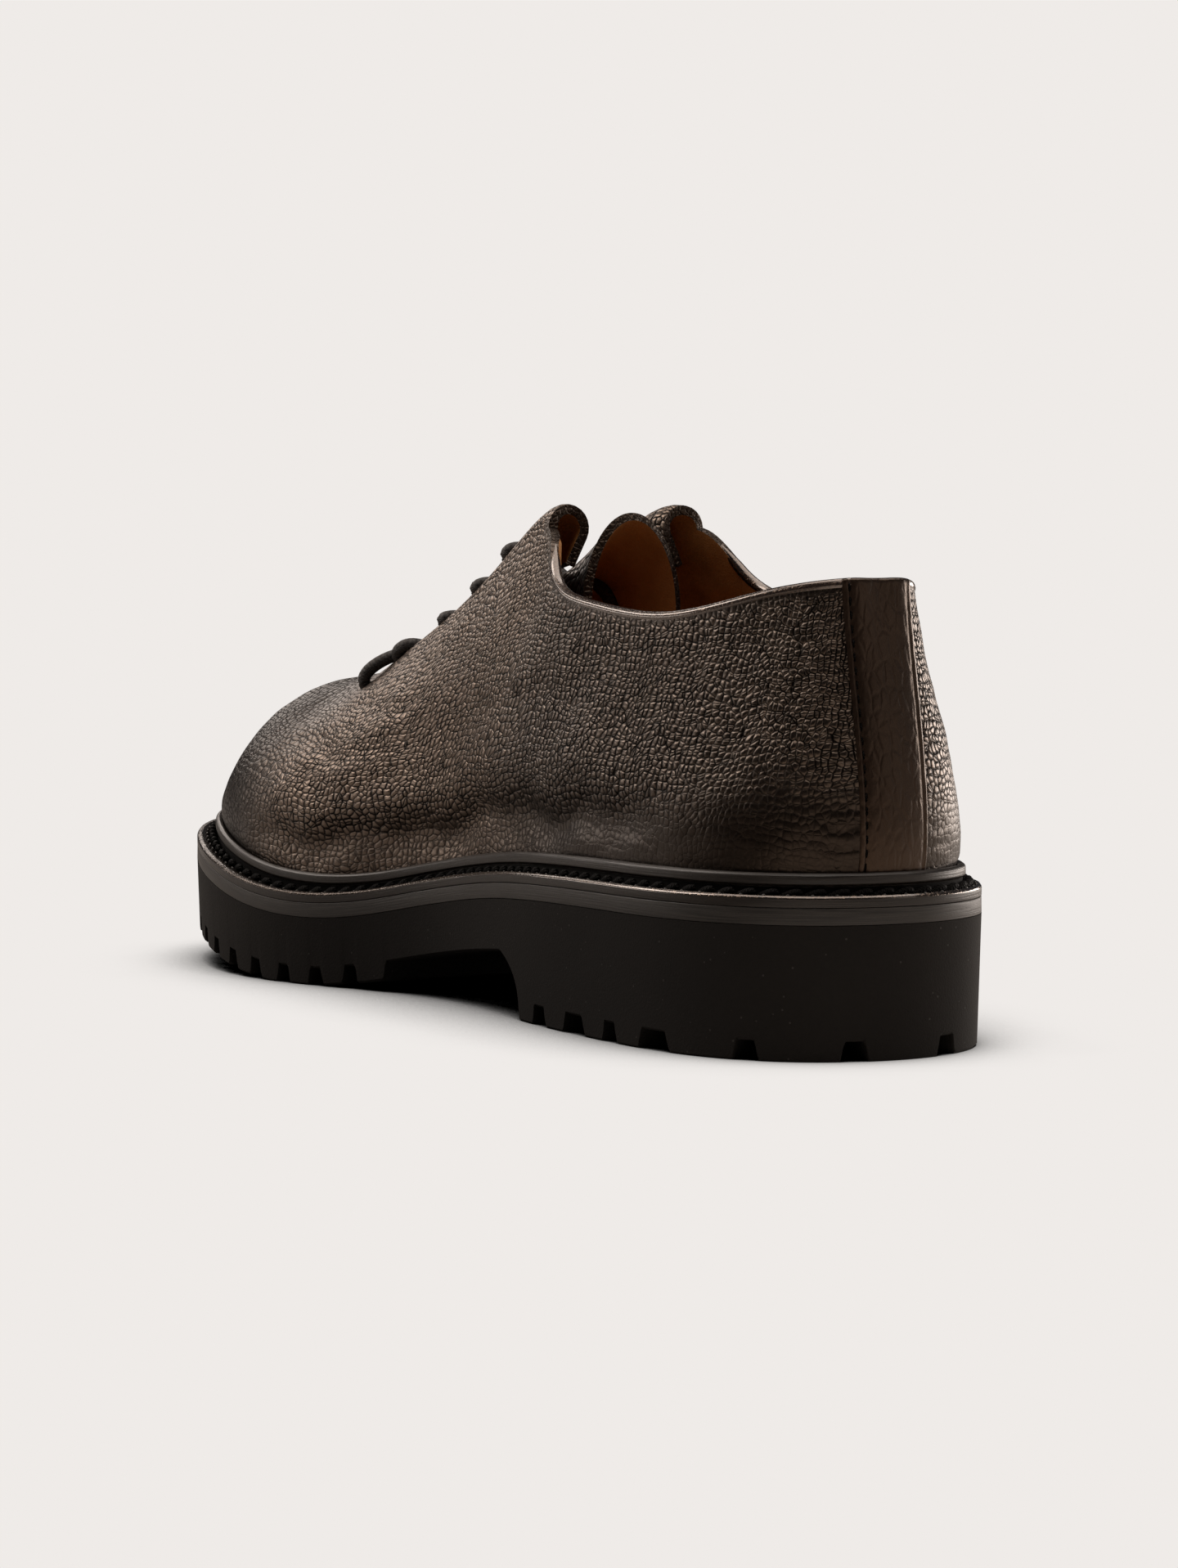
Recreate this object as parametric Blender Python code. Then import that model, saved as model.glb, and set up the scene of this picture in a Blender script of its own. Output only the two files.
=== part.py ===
"""Lug sole derby shoe for the right foot, standing empty on its sole.

Frame: metres, +Z up, toe along +Y, lateral side along +X, origin under the middle of the sole.
Tables are written in millimetres for the sample size and graded to the driving sizes below.
"""
import math

import bmesh
import bpy
import numpy as np

# Driving sizes, metres
LENGTH = 0.300          # outsole, heel to toe
BALL_WIDTH = 0.108      # outsole across the ball
INSTEP_HEIGHT = 0.1165  # floor to the crest of the facings
SAMPLE_LENGTH, SAMPLE_BALL, SAMPLE_INSTEP = 300.0, 108.0, 116.5  # the same three in the tables' millimetres
ALONG, ACROSS, UP = LENGTH / SAMPLE_LENGTH, BALL_WIDTH / SAMPLE_BALL, INSTEP_HEIGHT / SAMPLE_INSTEP

FIT_GAP = 0.0003        # air between neighbouring pieces
UPPER_WALL = 0.0022
SLAB = 0.0120           # outsole without its lugs
LUG_DEPTH = 0.0043
SIDE_DRAFT = 0.0008     # outsole side leans in by this much at the floor
MIDSOLE_TOP = 0.0037    # all three above the top of the outsole
FLANGE_TOP = 0.0062
LIP_TOP = 0.0102
LIP_WIDTH = 0.0017
INSOLE = 0.0030
BACKSTAY_WIDTH = 0.0170
BACKSTAY_WALL = 0.0009
TONGUE_WALL = 0.0020
LACE_RADIUS = 0.0016
LACE_SAG = 0.0030       # the crossings' middles below the facings' crests
EYELET_RADIUS = 0.0020

# Outline of the sole: half widths at places along the length, and the ledge outside the storm welt
OUTLINE_COLUMNS = ("along", "inner", "outer", "ledge")
OUTLINE = (
    (9, 24.5, 24.0, 3.8),
    (24, 34.8, 34.0, 3.8),
    (42, 39.2, 38.2, 3.7),
    (66, 40.0, 38.6, 3.6),
    (90, 39.0, 39.0, 3.6),
    (120, 35.5, 41.2, 3.7),
    (146, 34.5, 45.8, 3.9),
    (168, 39.0, 51.0, 4.2),
    (190, 47.0, 55.0, 4.6),
    (210, 52.0, 55.8, 4.8),
    (232, 52.3, 52.5, 5.0),
    (256, 46.2, 45.2, 5.2),
    (276, 36.4, 34.8, 5.2),
    (291, 22.6, 20.6, 5.2),
)
TOE_ASIDE = -1.5        # tip of the toe, towards the big toe
HEEL_LEDGE, TOE_LEDGE = 3.8, 5.2

# Side profile of the sole: top of the outsole and the lugs' lowest points
PROFILE_COLUMNS = ("along", "top", "tread")
PROFILE = (
    (0, 28.5, 0.0),
    (45, 28.5, 0.0),
    (90, 28.0, 0.0),
    (117, 26.4, 0.0),
    (140, 23.8, 0.0),
    (158, 20.9, 4.4),
    (173, 18.2, 1.9),
    (188, 16.7, 0.0),
    (205, 17.2, 0.0),
    (220, 19.3, 1.5),
    (236, 22.3, 4.0),
    (255, 25.3, 7.0),
    (278, 27.8, 9.9),
    (300, 29.4, 11.8),
)
HEEL_BREAST, BREAST_STEP, BREAST_TOP, FORE_TREAD = 101.0, 105.5, 112.0, 166.5

# Notches between the side lugs: place round the half outline (0 heel, 1 toe) and width at the floor
NOTCH_COLUMNS = ("round", "width")
HEEL_NOTCHES = ((0.0505, 7.0), (0.1485, 6.6), (0.238, 12.0), (0.286, 6.6), (0.327, 11.4), (0.368, 7.9))
FORE_NOTCH_PITCH, FORE_NOTCH_WIDTH, FORE_NOTCH_FIRST = 11.8, 5.6, 177.3
RECESS_INSET, NOTCH_REACH = 15.0, 17.5
FORE_CROSSES = (193, 215, 237, 258)
CROSS_ARM, CROSS_BAR, HEEL_CROSS = 10.0, 7.0, 52.0

# The upper, one row per ruling from heel to toe: place of its foot on the outline, its top point (with
# the outer side's extra half width), lean and reach of the wall at foot and top, the facing edge's roll
SECTION_COLUMNS = ("foot", "half", "flare", "top_along", "top_height", "foot_lean", "foot_reach",
                   "top_rise", "top_reach", "roll", "turn", "flap")
SECTIONS = (
    (0, 0.0, 0.0, 12.2, 99.9, 13, 0.25, 84, 0.30, 5.4, 205, 7.5),
    (8, 8.6, 0.0, 13.2, 99.8, 13, 0.25, 84, 0.30, 5.4, 205, 7.5),
    (32, 20.0, 0.0, 30.0, 96.8, 12, 0.26, 84, 0.30, 5.4, 205, 7.5),
    (60, 27.0, 0.0, 55.0, 92.6, 10, 0.30, 82, 0.32, 5.4, 205, 7.5),
    (90, 28.4, 0.6, 84.0, 94.8, 9, 0.34, 80, 0.34, 5.4, 205, 7.5),
    (118, 24.6, 2.6, 108.0, 102.8, 9, 0.36, 80, 0.34, 5.4, 205, 7.5),
    (134, 20.0, 1.8, 117.5, 111.6, 10, 0.36, 88, 0.34, 5.4, 205, 7.5),
    (160, 18.4, 0.6, 148.0, 101.0, 12, 0.36, 70, 0.34, 5.0, 110, 5.0),
    (190, 16.8, 0.0, 181.5, 86.6, 14, 0.38, 52, 0.36, 4.8, 75, 4.5),
    (222, 11.0, 0.0, 216.0, 76.0, 16, 0.40, 30, 0.40, 5.0, 40, 2.5),
    (244, 0.0, 0.0, 238.0, 74.4, 18, 0.38, 2, 0.40, 5.0, 4, 0.2),
    (262, 0.0, 0.0, 251.0, 69.6, 20, 0.30, 4, 0.30, 5.0, 4, 0.2),
    (280, 0.0, 0.0, 264.0, 63.6, 24, 0.31, 9, 0.29, 5.0, 4, 0.2),
    (292, 0.0, 0.0, 273.0, 58.8, 26, 0.36, 21, 0.31, 5.0, 4, 0.2),
    (300, 0.0, 0.0, 276.5, 56.6, 26, 0.42, 33, 0.34, 5.0, 4, 0.2),
)
FACING_TOP, THROAT_END = 134, 244    # feet of the rulings where the facing starts and the throat closes
RIDGE_ASIDE = -3.0                   # the vamp's ridge leans towards the big toe

# Eyelets: place along the facing and how far past the top of the ruling
EYELET_COLUMNS = ("along", "past")
EYELETS = ((149.4, 3.0), (166.8, 2.0), (182.7, 0.5), (203.5, -2.0), (225.0, -6.0))

# The tongue, one row per cross section from its root under the vamp to its free top edge
TONGUE_COLUMNS = ("along", "crest", "half", "drop")
TONGUE = (
    (246, 69.0, 12.5, 3.8),
    (229, 71.9, 12.5, 4.4),
    (216, 73.8, 14.2, 6.0),
    (200, 77.8, 16.0, 7.4),
    (182, 83.9, 16.5, 8.7),
    (164, 90.1, 16.0, 10.0),
    (148, 96.8, 14.6, 13.0),
    (130, 106.2, 8.4, 19.0),
    (113.5, 115.0, 13.2, 23.0),
)
TONGUE_ROWS, TONGUE_FOLDS = 18, 12

OUTLINE_STATIONS = 40   # per half of the outline
RULINGS_COLLAR, RULINGS_FACING, RULINGS_TOE = 10, 11, 8
WALL_ROWS, ROLL_ROWS = 9, 8


def cubic(knots, values, at, period=None):
    """Smooth curve through the knots, natural at its ends or closed after one period."""
    k, v, x = (np.asarray(a, float) for a in (knots, values, at))
    n = len(k)
    if period:
        h = np.diff(np.append(k, k[0] + period))
        slope = (np.roll(v, -1) - v) / h
        a = np.zeros((n, n))
        for i in range(n):
            a[i, i - 1] += h[i - 1]
            a[i, i] += 2 * (h[i - 1] + h[i])
            a[i, (i + 1) % n] += h[i]
        bend = np.linalg.solve(a, 6 * (slope - np.roll(slope, 1)))
        x = (x - k[0]) % period + k[0]
        i = np.clip(np.searchsorted(k, x, side="right") - 1, 0, n - 1)
    else:
        h = np.diff(k)
        slope = np.diff(v) / h
        a = np.eye(n)
        for i in range(1, n - 1):
            a[i, i - 1:i + 2] = h[i - 1], 2 * (h[i - 1] + h[i]), h[i]
        bend = np.linalg.solve(a, np.concatenate(([0], 6 * np.diff(slope), [0])))
        i = np.clip(np.searchsorted(k, x, side="right") - 1, 0, n - 2)
    j = (i + 1) % n
    s = x - k[i]
    r = h[i] - s
    return ((bend[i] * r**3 + bend[j] * s**3) / (6 * h[i]) + (v[i] / h[i] - bend[i] * h[i] / 6) * r
            + (v[j] / h[i] - bend[j] * h[i] / 6) * s)


def columns(rows, scales):
    """The table's columns, each in metres or left as it is."""
    return (np.array(rows, float) * np.array(scales)).T


def round_of(along):
    """Place round half the outline, 0 at the heel and 1 at the toe, for a place along the length."""
    return np.arccos(np.clip(1 - 2 * np.asarray(along) / LENGTH, -1, 1)) / math.pi


O_ALONG, O_INNER, O_OUTER, O_LEDGE = columns(OUTLINE, (ALONG, ACROSS, ACROSS, ACROSS))
O_ROUND = round_of(O_ALONG)
LOOP = np.concatenate(([-1], -O_ROUND[::-1], [0], O_ROUND))
LOOP_ASIDE = np.concatenate(([TOE_ASIDE * ACROSS], -O_INNER[::-1], [0], O_OUTER))
LOOP_LEDGE = np.concatenate(([TOE_LEDGE * ACROSS], O_LEDGE[::-1], [HEEL_LEDGE * ACROSS], O_LEDGE))
P_ALONG, P_TOP, P_TREAD = columns(PROFILE, (ALONG, UP, UP))


def outline(around):
    """Edge of the sole; around runs -1 at the toe, inner side, 0 heel, outer side, 1 toe."""
    around = np.asarray(around, float)
    return np.stack([cubic(LOOP, LOOP_ASIDE, around, 2.0), LENGTH / 2 * (1 - np.cos(math.pi * around))], -1)


def rim(around, inset):
    """The outline moved inwards."""
    step = 1e-4
    way = outline(np.asarray(around) + step) - outline(np.asarray(around) - step)
    way /= np.linalg.norm(way, axis=-1, keepdims=True)
    return outline(around) + np.stack([-way[..., 1], way[..., 0]], -1) * np.asarray(inset)[..., None]


def ledge(around):
    return cubic(LOOP, LOOP_LEDGE, around, 2.0)


def sole_top(along):
    return cubic(P_ALONG, P_TOP, along)


def tread(along):
    return np.maximum(np.interp(along, P_ALONG, P_TREAD), 0.0)


MIDDLE = np.array([np.ptp(outline(np.linspace(-1, 1, 2001))[:, 0]) / 2
                   + outline(np.linspace(-1, 1, 2001))[:, 0].min(), LENGTH / 2, 0.0])


def make(name, points, faces, material):
    """A mesh object from points in the shoe's own frame, moved so the origin is under its middle."""
    mesh = bpy.data.meshes.new(name)
    mesh.from_pydata([tuple(p) for p in np.asarray(points) - MIDDLE], [], faces)
    work = bmesh.new()
    work.from_mesh(mesh)
    bmesh.ops.remove_doubles(work, verts=work.verts, dist=1e-6)
    bmesh.ops.dissolve_degenerate(work, edges=work.edges, dist=1e-7)
    if all(e.is_manifold for e in work.edges):
        bmesh.ops.recalc_face_normals(work, faces=work.faces)
    work.to_mesh(mesh)
    work.free()
    item = bpy.data.objects.new(name, mesh)
    bpy.context.scene.collection.objects.link(item)
    mesh.materials.append(material)
    return item


def cutter(item):
    item.hide_render = True
    item.display_type = "WIRE"
    return item


def combine(item, operation, other):
    """Cut, meet or join with another form by a modifier kept on the item."""
    step = item.modifiers.new(operation.title(), "BOOLEAN")
    step.operation, step.object, step.solver = operation, cutter(other), "EXACT"
    return step


def material(name, colour, roughness):
    found = bpy.data.materials.new(name)
    found.use_nodes = True
    shader = found.node_tree.nodes["Principled BSDF"]
    shader.inputs["Base Color"].default_value = (*colour, 1)
    shader.inputs["Roughness"].default_value = roughness
    return found


def loop_places(stations=OUTLINE_STATIONS):
    return -1 + np.arange(2 * stations) / stations


def ring(rows, closed):
    """Faces between stacked loops of equal count; rows run from the first loop to the last."""
    count = 2 * OUTLINE_STATIONS
    faces = []
    for i in range(rows if closed else rows - 1):
        for j in range(count):
            k = (j + 1) % count
            low, high = i * count, (i + 1) % rows * count
            faces.append((low + j, low + k, high + k, high + j))
    return faces


def cap(first, flip):
    """Faces across one loop, from its inner side to its outer side."""
    n = OUTLINE_STATIONS
    faces = []
    for j in range(n):
        quad = [first + j, first + j + 1, first + 2 * n - j - 1, first + (2 * n - j) % (2 * n)]
        quad = list(dict.fromkeys(quad))
        faces.append(tuple(quad[::-1] if flip else quad))
    return faces


def stacked(rows):
    """Loops of the outline at each (inset, rise above the outsole's top)."""
    around = loop_places()
    points = []
    for inset, rise in rows:
        edge = rim(around, np.broadcast_to(inset, around.shape))
        points.append(np.column_stack([edge, sole_top(edge[:, 1]) + rise]))
    return np.concatenate(points)


def slab(name, rows, finish):
    """A solid sheet that follows the top of the outsole."""
    last = (len(rows) - 1) * 2 * OUTLINE_STATIONS
    return make(name, stacked(rows), ring(len(rows), False) + cap(0, True) + cap(last, False), finish)


def prism(low, high, strips=False):
    """Points and faces of a closed form between two loops of equal count, its ends whole or in strips."""
    n = len(low)
    ends = [(j, j + 1, n - 2 - j, n - 1 - j) for j in range(n // 2 - 1)] if strips else [tuple(range(n))]
    faces = [end[::-1] for end in ends] + [tuple(n + j for j in end) for end in ends]
    faces += [(j, (j + 1) % n, n + (j + 1) % n, n + j) for j in range(n)]
    return np.concatenate([low, high]), faces


def several(name, forms, finish):
    """One object from several closed forms."""
    points, faces, first = [], [], 0
    for p, f in forms:
        points.append(p)
        faces += [tuple(first + i for i in face) for face in f]
        first += len(p)
    return make(name, np.concatenate(points), faces, finish)


def underside():
    """Side view of the sole, as a loop of (along, height)."""
    top = np.linspace(-0.01, LENGTH + 0.01, 61)
    first = FORE_TREAD * ALONG
    fore = np.concatenate([[first + 0.0004], P_ALONG[P_ALONG > first], [LENGTH + 0.01]])
    waist = np.linspace(BREAST_TOP * ALONG, FORE_TREAD * ALONG, 12)
    low = np.concatenate([
        [(-0.01, 0.0), (HEEL_BREAST * ALONG, 0.0), (HEEL_BREAST * ALONG + 0.001, LUG_DEPTH),
         (BREAST_STEP * ALONG, LUG_DEPTH + 0.0003)],
        np.column_stack([waist, sole_top(waist) - SLAB]),
        np.column_stack([fore, tread(fore)]),
    ])
    return np.concatenate([low, np.column_stack([top, sole_top(top)])[::-1]])


def recess(first, last):
    """The sunk field inside the side lugs, between two places round the half outline."""
    side = np.linspace(first, last, 18)
    loop = np.concatenate([rim(side, np.full(18, RECESS_INSET * ACROSS)),
                           rim(-side[::-1], np.full(18, RECESS_INSET * ACROSS))])
    return prism(np.column_stack([loop, np.full(36, -0.02)]),
                 np.column_stack([loop, tread(loop[:, 1]) + LUG_DEPTH]), strips=True)


def notch(around, width):
    """A gap between two side lugs, wider at the floor and narrower inwards."""
    out, inn = rim(around, -0.004), rim(around, NOTCH_REACH * ACROSS)
    way = (inn - out) / np.linalg.norm(inn - out)
    side = np.array([-way[1], way[0]]) * width / 2
    plan = np.array([out - side, out + side, inn + side * 0.55, inn - side * 0.55])
    level = tread(plan[:, 1]).mean()
    centre = np.array([out, out, inn, inn])
    wide, narrow = centre + (plan - centre) * 1.25, centre + (plan - centre) * 0.72
    return prism(np.column_stack([wide, np.full(4, level - 0.006)]),
                 np.column_stack([narrow, tread(plan[:, 1]) + LUG_DEPTH]))


def cross(along, arm, bar):
    """A cross shaped lug standing in the sunk field."""
    mid = (outline(round_of(along))[0] + outline(-round_of(along))[0]) / 2
    plan = []
    for turn in range(4):
        c, s = math.cos(turn * math.pi / 2), math.sin(turn * math.pi / 2)
        for x, y in ((arm, -bar / 2), (arm, bar / 2), (bar / 2, bar / 2)):
            plan.append((mid + c * x - s * y, along + s * x + c * y))
    plan = np.array(plan)
    return prism(np.column_stack([plan, tread(plan[:, 1])]),
                 np.column_stack([plan, tread(plan[:, 1]) + LUG_DEPTH + 0.001]))


def fore_notches():
    """Places of the forefoot's side gaps, evenly spaced along each side's edge."""
    fine = np.linspace(round_of(FORE_NOTCH_FIRST * ALONG), 0.985, 600)
    for side in (-1, 1):
        edge = outline(side * fine)
        run = np.concatenate([[0], np.cumsum(np.linalg.norm(np.diff(edge, axis=0), axis=1))])
        count = int(run[-1] // (FORE_NOTCH_PITCH * ALONG))
        for place in np.interp(np.arange(count + 1) * run[-1] / (count + 0.5), run, fine):
            yield side * place, FORE_NOTCH_WIDTH * ALONG


def build_outsole(finish):
    around = loop_places()
    low = np.column_stack([rim(around, np.full(around.shape, SIDE_DRAFT)), np.full(around.shape, 0.0)])
    high = np.column_stack([outline(around), np.full(around.shape, P_TOP[0])])
    lean = (high - low) / P_TOP[0]
    plan = make("outsole", *prism(low - lean * 0.01, low + lean * 0.06), finish)
    side = underside()
    wide = np.ones(len(side)) * BALL_WIDTH
    combine(plan, "INTERSECT", make("side_profile", *prism(
        np.column_stack([-wide, side]), np.column_stack([wide, side])), finish))
    inner = round_of(np.array([20, 84, 182, 284]) * ALONG)
    combine(plan, "DIFFERENCE", several("sunk_fields", [recess(*inner[:2]), recess(*inner[2:])], finish))
    gaps = [(s * place, width * ALONG) for place, width in HEEL_NOTCHES for s in (-1, 1)]
    gaps = [notch(*g) for g in gaps + list(fore_notches())]
    combine(plan, "DIFFERENCE", several("lug_gaps", gaps, finish)).use_self = True
    crosses = [cross(y * ALONG, CROSS_ARM * ACROSS, CROSS_BAR * ACROSS) for y in FORE_CROSSES]
    crosses.append(cross(HEEL_CROSS * ALONG, 1.5 * CROSS_ARM * ACROSS, 1.3 * CROSS_BAR * ACROSS))
    combine(plan, "UNION", several("middle_lugs", crosses, finish))
    return plan


def build_welt(finish):
    """Flange with a rounded edge, a stitch groove and the storm lip standing against the upper."""
    lip = ledge(loop_places())
    foot = MIDSOLE_TOP + FIT_GAP
    rows = [(0.0005, foot), (0.0, foot + 0.0006), (0.0, FLANGE_TOP - 0.0008), (0.0007, FLANGE_TOP),
            (lip - 0.0014, FLANGE_TOP), (lip - 0.0004, FLANGE_TOP - 0.0005), (lip, FLANGE_TOP),
            (lip + 0.0001, LIP_TOP - 0.0008), (lip + 0.0005, LIP_TOP),
            (lip + LIP_WIDTH - 2 * FIT_GAP, LIP_TOP - FIT_GAP), (lip + LIP_WIDTH - FIT_GAP, foot)]
    return make("welt", stacked(rows), ring(len(rows), True), finish)


(S_FOOT, S_HALF, S_FLARE, S_ALONG, S_HEIGHT, S_LEAN, S_FREACH,
 S_RISE, S_TREACH, S_ROLL, S_TURN, S_FLAP) = columns(
     SECTIONS, (ALONG, ACROSS, ACROSS, ALONG, UP, 1, 1, 1, 1, UP, 1, UP))
S_ROUND = round_of(S_FOOT)
S_LOOP = np.concatenate((-S_ROUND[:0:-1], S_ROUND[:-1]))


def section(column, around, odd=False):
    """A column of the sections table round the whole upper; an odd one changes sign on the inner side."""
    return cubic(S_LOOP, np.concatenate((column[:0:-1] * (-1 if odd else 1), column[:-1])), around, 2.0)


def ridge_aside(along):
    return RIDGE_ASIDE * ACROSS * np.clip((along - S_ALONG[6]) / (LENGTH - S_ALONG[6]), 0, 1)


def ruling(around, wall_rows=WALL_ROWS, roll_rows=ROLL_ROWS):
    """One line of the upper from the welt to the collar or ridge, then round the facing's roll."""
    foot = rim(around, ledge(around) + LIP_WIDTH)
    seat = np.array([*foot, sole_top(foot[1]) + MIDSOLE_TOP + 2 * FIT_GAP])
    foot = np.array([*foot, sole_top(foot[1]) + LIP_TOP])
    half = 0.0
    if abs(around) < round_of(THROAT_END * ALONG):
        half = section(S_HALF, around, odd=True) + section(S_FLARE, around) * (around > 0)
    along = float(section(S_ALONG, around))
    top = np.array([half + ridge_aside(along), along, float(section(S_HEIGHT, around))])
    edge_out = np.array([*(outline(around) - foot[:2]), 0.0])
    edge_out /= np.linalg.norm(edge_out)
    facing = round_of(FACING_TOP * ALONG) - 1e-9 <= abs(around) < round_of(THROAT_END * ALONG)
    out = np.array([math.copysign(1, around), 0, 0]) if facing else np.array([*(foot - top)[:2], 0.0])
    out /= np.linalg.norm(out)
    up = np.array([0, 0, 1.0])
    lean, rise = (math.radians(section(c, around)) for c in (S_LEAN, S_RISE))
    chord = np.linalg.norm(top - foot)
    way = up * math.sin(rise) - out * math.cos(rise)
    low = foot + (edge_out * math.sin(lean) + up * math.cos(lean)) * chord * section(S_FREACH, around)
    high = top - way * chord * section(S_TREACH, around)
    t = np.linspace(0, 1, wall_rows)[:, None]
    wall = (1 - t)**3 * foot + 3 * t * (1 - t)**2 * low + 3 * t**2 * (1 - t) * high + t**3 * top
    wall = np.concatenate([seat[None], wall])
    radius, turn, flap = (float(section(c, around)) for c in (S_ROLL, S_TURN, S_FLAP))
    reach = radius * math.radians(turn) + flap
    if turn < 90:
        reach = min(reach, 0.8 * abs(half))
    run = np.linspace(0, reach, roll_rows + 1)[1:, None]
    angle = np.minimum(run / radius, math.radians(turn))
    heading = rise - angle
    centre_up, centre_in = -math.cos(rise) * radius, math.sin(rise) * radius
    roll = top + up * (centre_up + radius * np.cos(heading)) - out * (centre_in - radius * np.sin(heading))
    roll = roll + (run - angle * radius) * (up * np.sin(heading) - out * np.cos(heading))
    return wall, roll


def upper_places():
    """Rulings of one half: collar, facing and toe, with the facing's ends on rulings of their own."""
    ends = round_of(np.array([0, FACING_TOP, THROAT_END, SAMPLE_LENGTH]) * ALONG)
    parts = [np.linspace(a, b, n, endpoint=False)
             for a, b, n in zip(ends, ends[1:], (RULINGS_COLLAR, RULINGS_FACING, RULINGS_TOE))]
    return np.concatenate(parts + [[1.0]])


def upper_surface():
    """Points and faces of the upper's outside, both halves."""
    half = upper_places()
    points, faces = [], []
    for side in (-1, 1):
        first = len(points)
        lines = [np.concatenate(ruling(side * place)) for place in half]
        rows = WALL_ROWS + ROLL_ROWS + 1
        points += [p for line in lines for p in line]
        for i in range(len(half) - 1):
            facing = RULINGS_COLLAR <= i < RULINGS_COLLAR + RULINGS_FACING
            for j in range(WALL_ROWS + (ROLL_ROWS if facing else 0)):
                a = first + i * rows + j
                quad = (a, a + rows, a + rows + 1, a + 1)
                faces.append(quad if side > 0 else quad[::-1])
    return np.array(points), faces


def unit(v):
    return v / np.linalg.norm(v, axis=-1, keepdims=True)


def outward(grid):
    """Unit normals of a grid of points, facing away when rows climb and columns run right."""
    return unit(np.cross(np.gradient(grid, axis=1), np.gradient(grid, axis=0)))


def sheet(name, grid, low, high, finish):
    """A closed sheet between two offsets from a grid of points."""
    rows, cols, _ = grid.shape
    normal = outward(grid)
    points = np.concatenate([(grid + normal * d).reshape(-1, 3) for d in (low, high)])
    faces, half = [], rows * cols
    for i in range(rows - 1):
        for j in range(cols - 1):
            a = i * cols + j
            quad = (a, a + 1, a + cols + 1, a + cols)
            faces += [quad[::-1], tuple(half + k for k in quad)]
    edge = [j for j in range(cols)] + [i * cols + cols - 1 for i in range(1, rows)]
    edge += [(rows - 1) * cols + j for j in range(cols - 2, -1, -1)]
    edge += [i * cols for i in range(rows - 2, 0, -1)]
    for a, b in zip(edge, edge[1:] + edge[:1]):
        faces.append((a, b, half + b, half + a))
    return make(name, points, faces, finish)


def tube(path, radius, sides=6):
    """Points and faces of a closed round cord along a path."""
    path = np.asarray(path)
    way = unit(np.gradient(path, axis=0))
    across = unit(np.cross(way, [0.0, 0.0, 1.0]))
    above = np.cross(across, way)
    turn = np.arange(sides) * 2 * math.pi / sides
    loops = (path[:, None] + radius * (np.cos(turn)[None, :, None] * across[:, None]
                                       + np.sin(turn)[None, :, None] * above[:, None]))
    n, faces = len(path), []
    for i in range(n - 1):
        for j in range(sides):
            k = (j + 1) % sides
            faces.append((i * sides + j, i * sides + k, (i + 1) * sides + k, (i + 1) * sides + j))
    faces += [tuple(range(sides))[::-1], tuple((n - 1) * sides + j for j in range(sides))]
    return loops.reshape(-1, 3), faces


def eyelet(side, along, past):
    """Middle of an eyelet on the upper's outside, the way out of the leather, and the roll's crest."""
    fine = np.linspace(round_of(FACING_TOP * ALONG), round_of(THROAT_END * ALONG) - 0.002, 120)
    place = np.interp(along * ALONG, section(S_ALONG, fine), fine)
    lines = [np.concatenate(ruling(side * (place + d), 60, 40)) for d in (-0.004, 0.0, 0.004)]
    run = np.concatenate([[0], np.cumsum(np.linalg.norm(np.diff(lines[1], axis=0), axis=1))])
    at = np.argmin(np.abs(run - run[60] - past * UP))
    normals = [unit(np.cross(lines[2][k] - lines[0][k], lines[1][k + 1] - lines[1][k - 1])) * side
               for k in (at, np.argmax(lines[1][:-1, 2]))]
    return lines[1][at], normals[0], lines[1][np.argmax(lines[1][:-1, 2])], normals[1]


def hole(point, normal, radius, below, above):
    turn = np.arange(10) * math.pi / 5
    across = unit(np.cross(normal, [0.0, 1.0, 0.0]))
    round_ = radius * (np.cos(turn)[:, None] * across + np.sin(turn)[:, None] * np.cross(normal, across))
    return prism(point - normal * below + round_, point + normal * above + round_)


def build_upper(finish):
    points, faces = upper_surface()
    used = sorted({i for face in faces for i in face})
    index = {old: new for new, old in enumerate(used)}
    shell = make("upper", points[used], [tuple(index[i] for i in face) for face in faces], finish)
    wall = shell.modifiers.new("Wall", "SOLIDIFY")
    wall.thickness, wall.offset, wall.use_even_offset = UPPER_WALL, -1, True
    holes = [hole(*eyelet(side, *row)[:2], EYELET_RADIUS, 0.0034, 0.002)
             for row in EYELETS for side in (-1, 1)]
    combine(shell, "DIFFERENCE", several("eyelet_holes", holes, finish))
    return shell


def build_backstay(finish):
    """Strip down the back, laid on the upper's own surface between the storm lip and the collar."""
    places = np.linspace(-0.14, 0.14, 57)
    lines = np.stack([ruling(place, 25)[0] for place in places], 1)[1:]
    across = np.linspace(-0.5, 0.5, 7) * BACKSTAY_WIDTH
    grid = []
    for row in lines[::3]:
        grid.append(np.column_stack([across] + [np.interp(across, row[:, 0], row[:, k]) for k in (1, 2)]))
    grid = np.array(grid)
    grid[0, :, 2] += 2 * FIT_GAP
    return sheet("backstay", grid, FIT_GAP, FIT_GAP + BACKSTAY_WALL, finish)


T_ALONG, T_CREST, T_HALF, T_DROP = columns(TONGUE[::-1], (ALONG, UP, ACROSS, UP))


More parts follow.
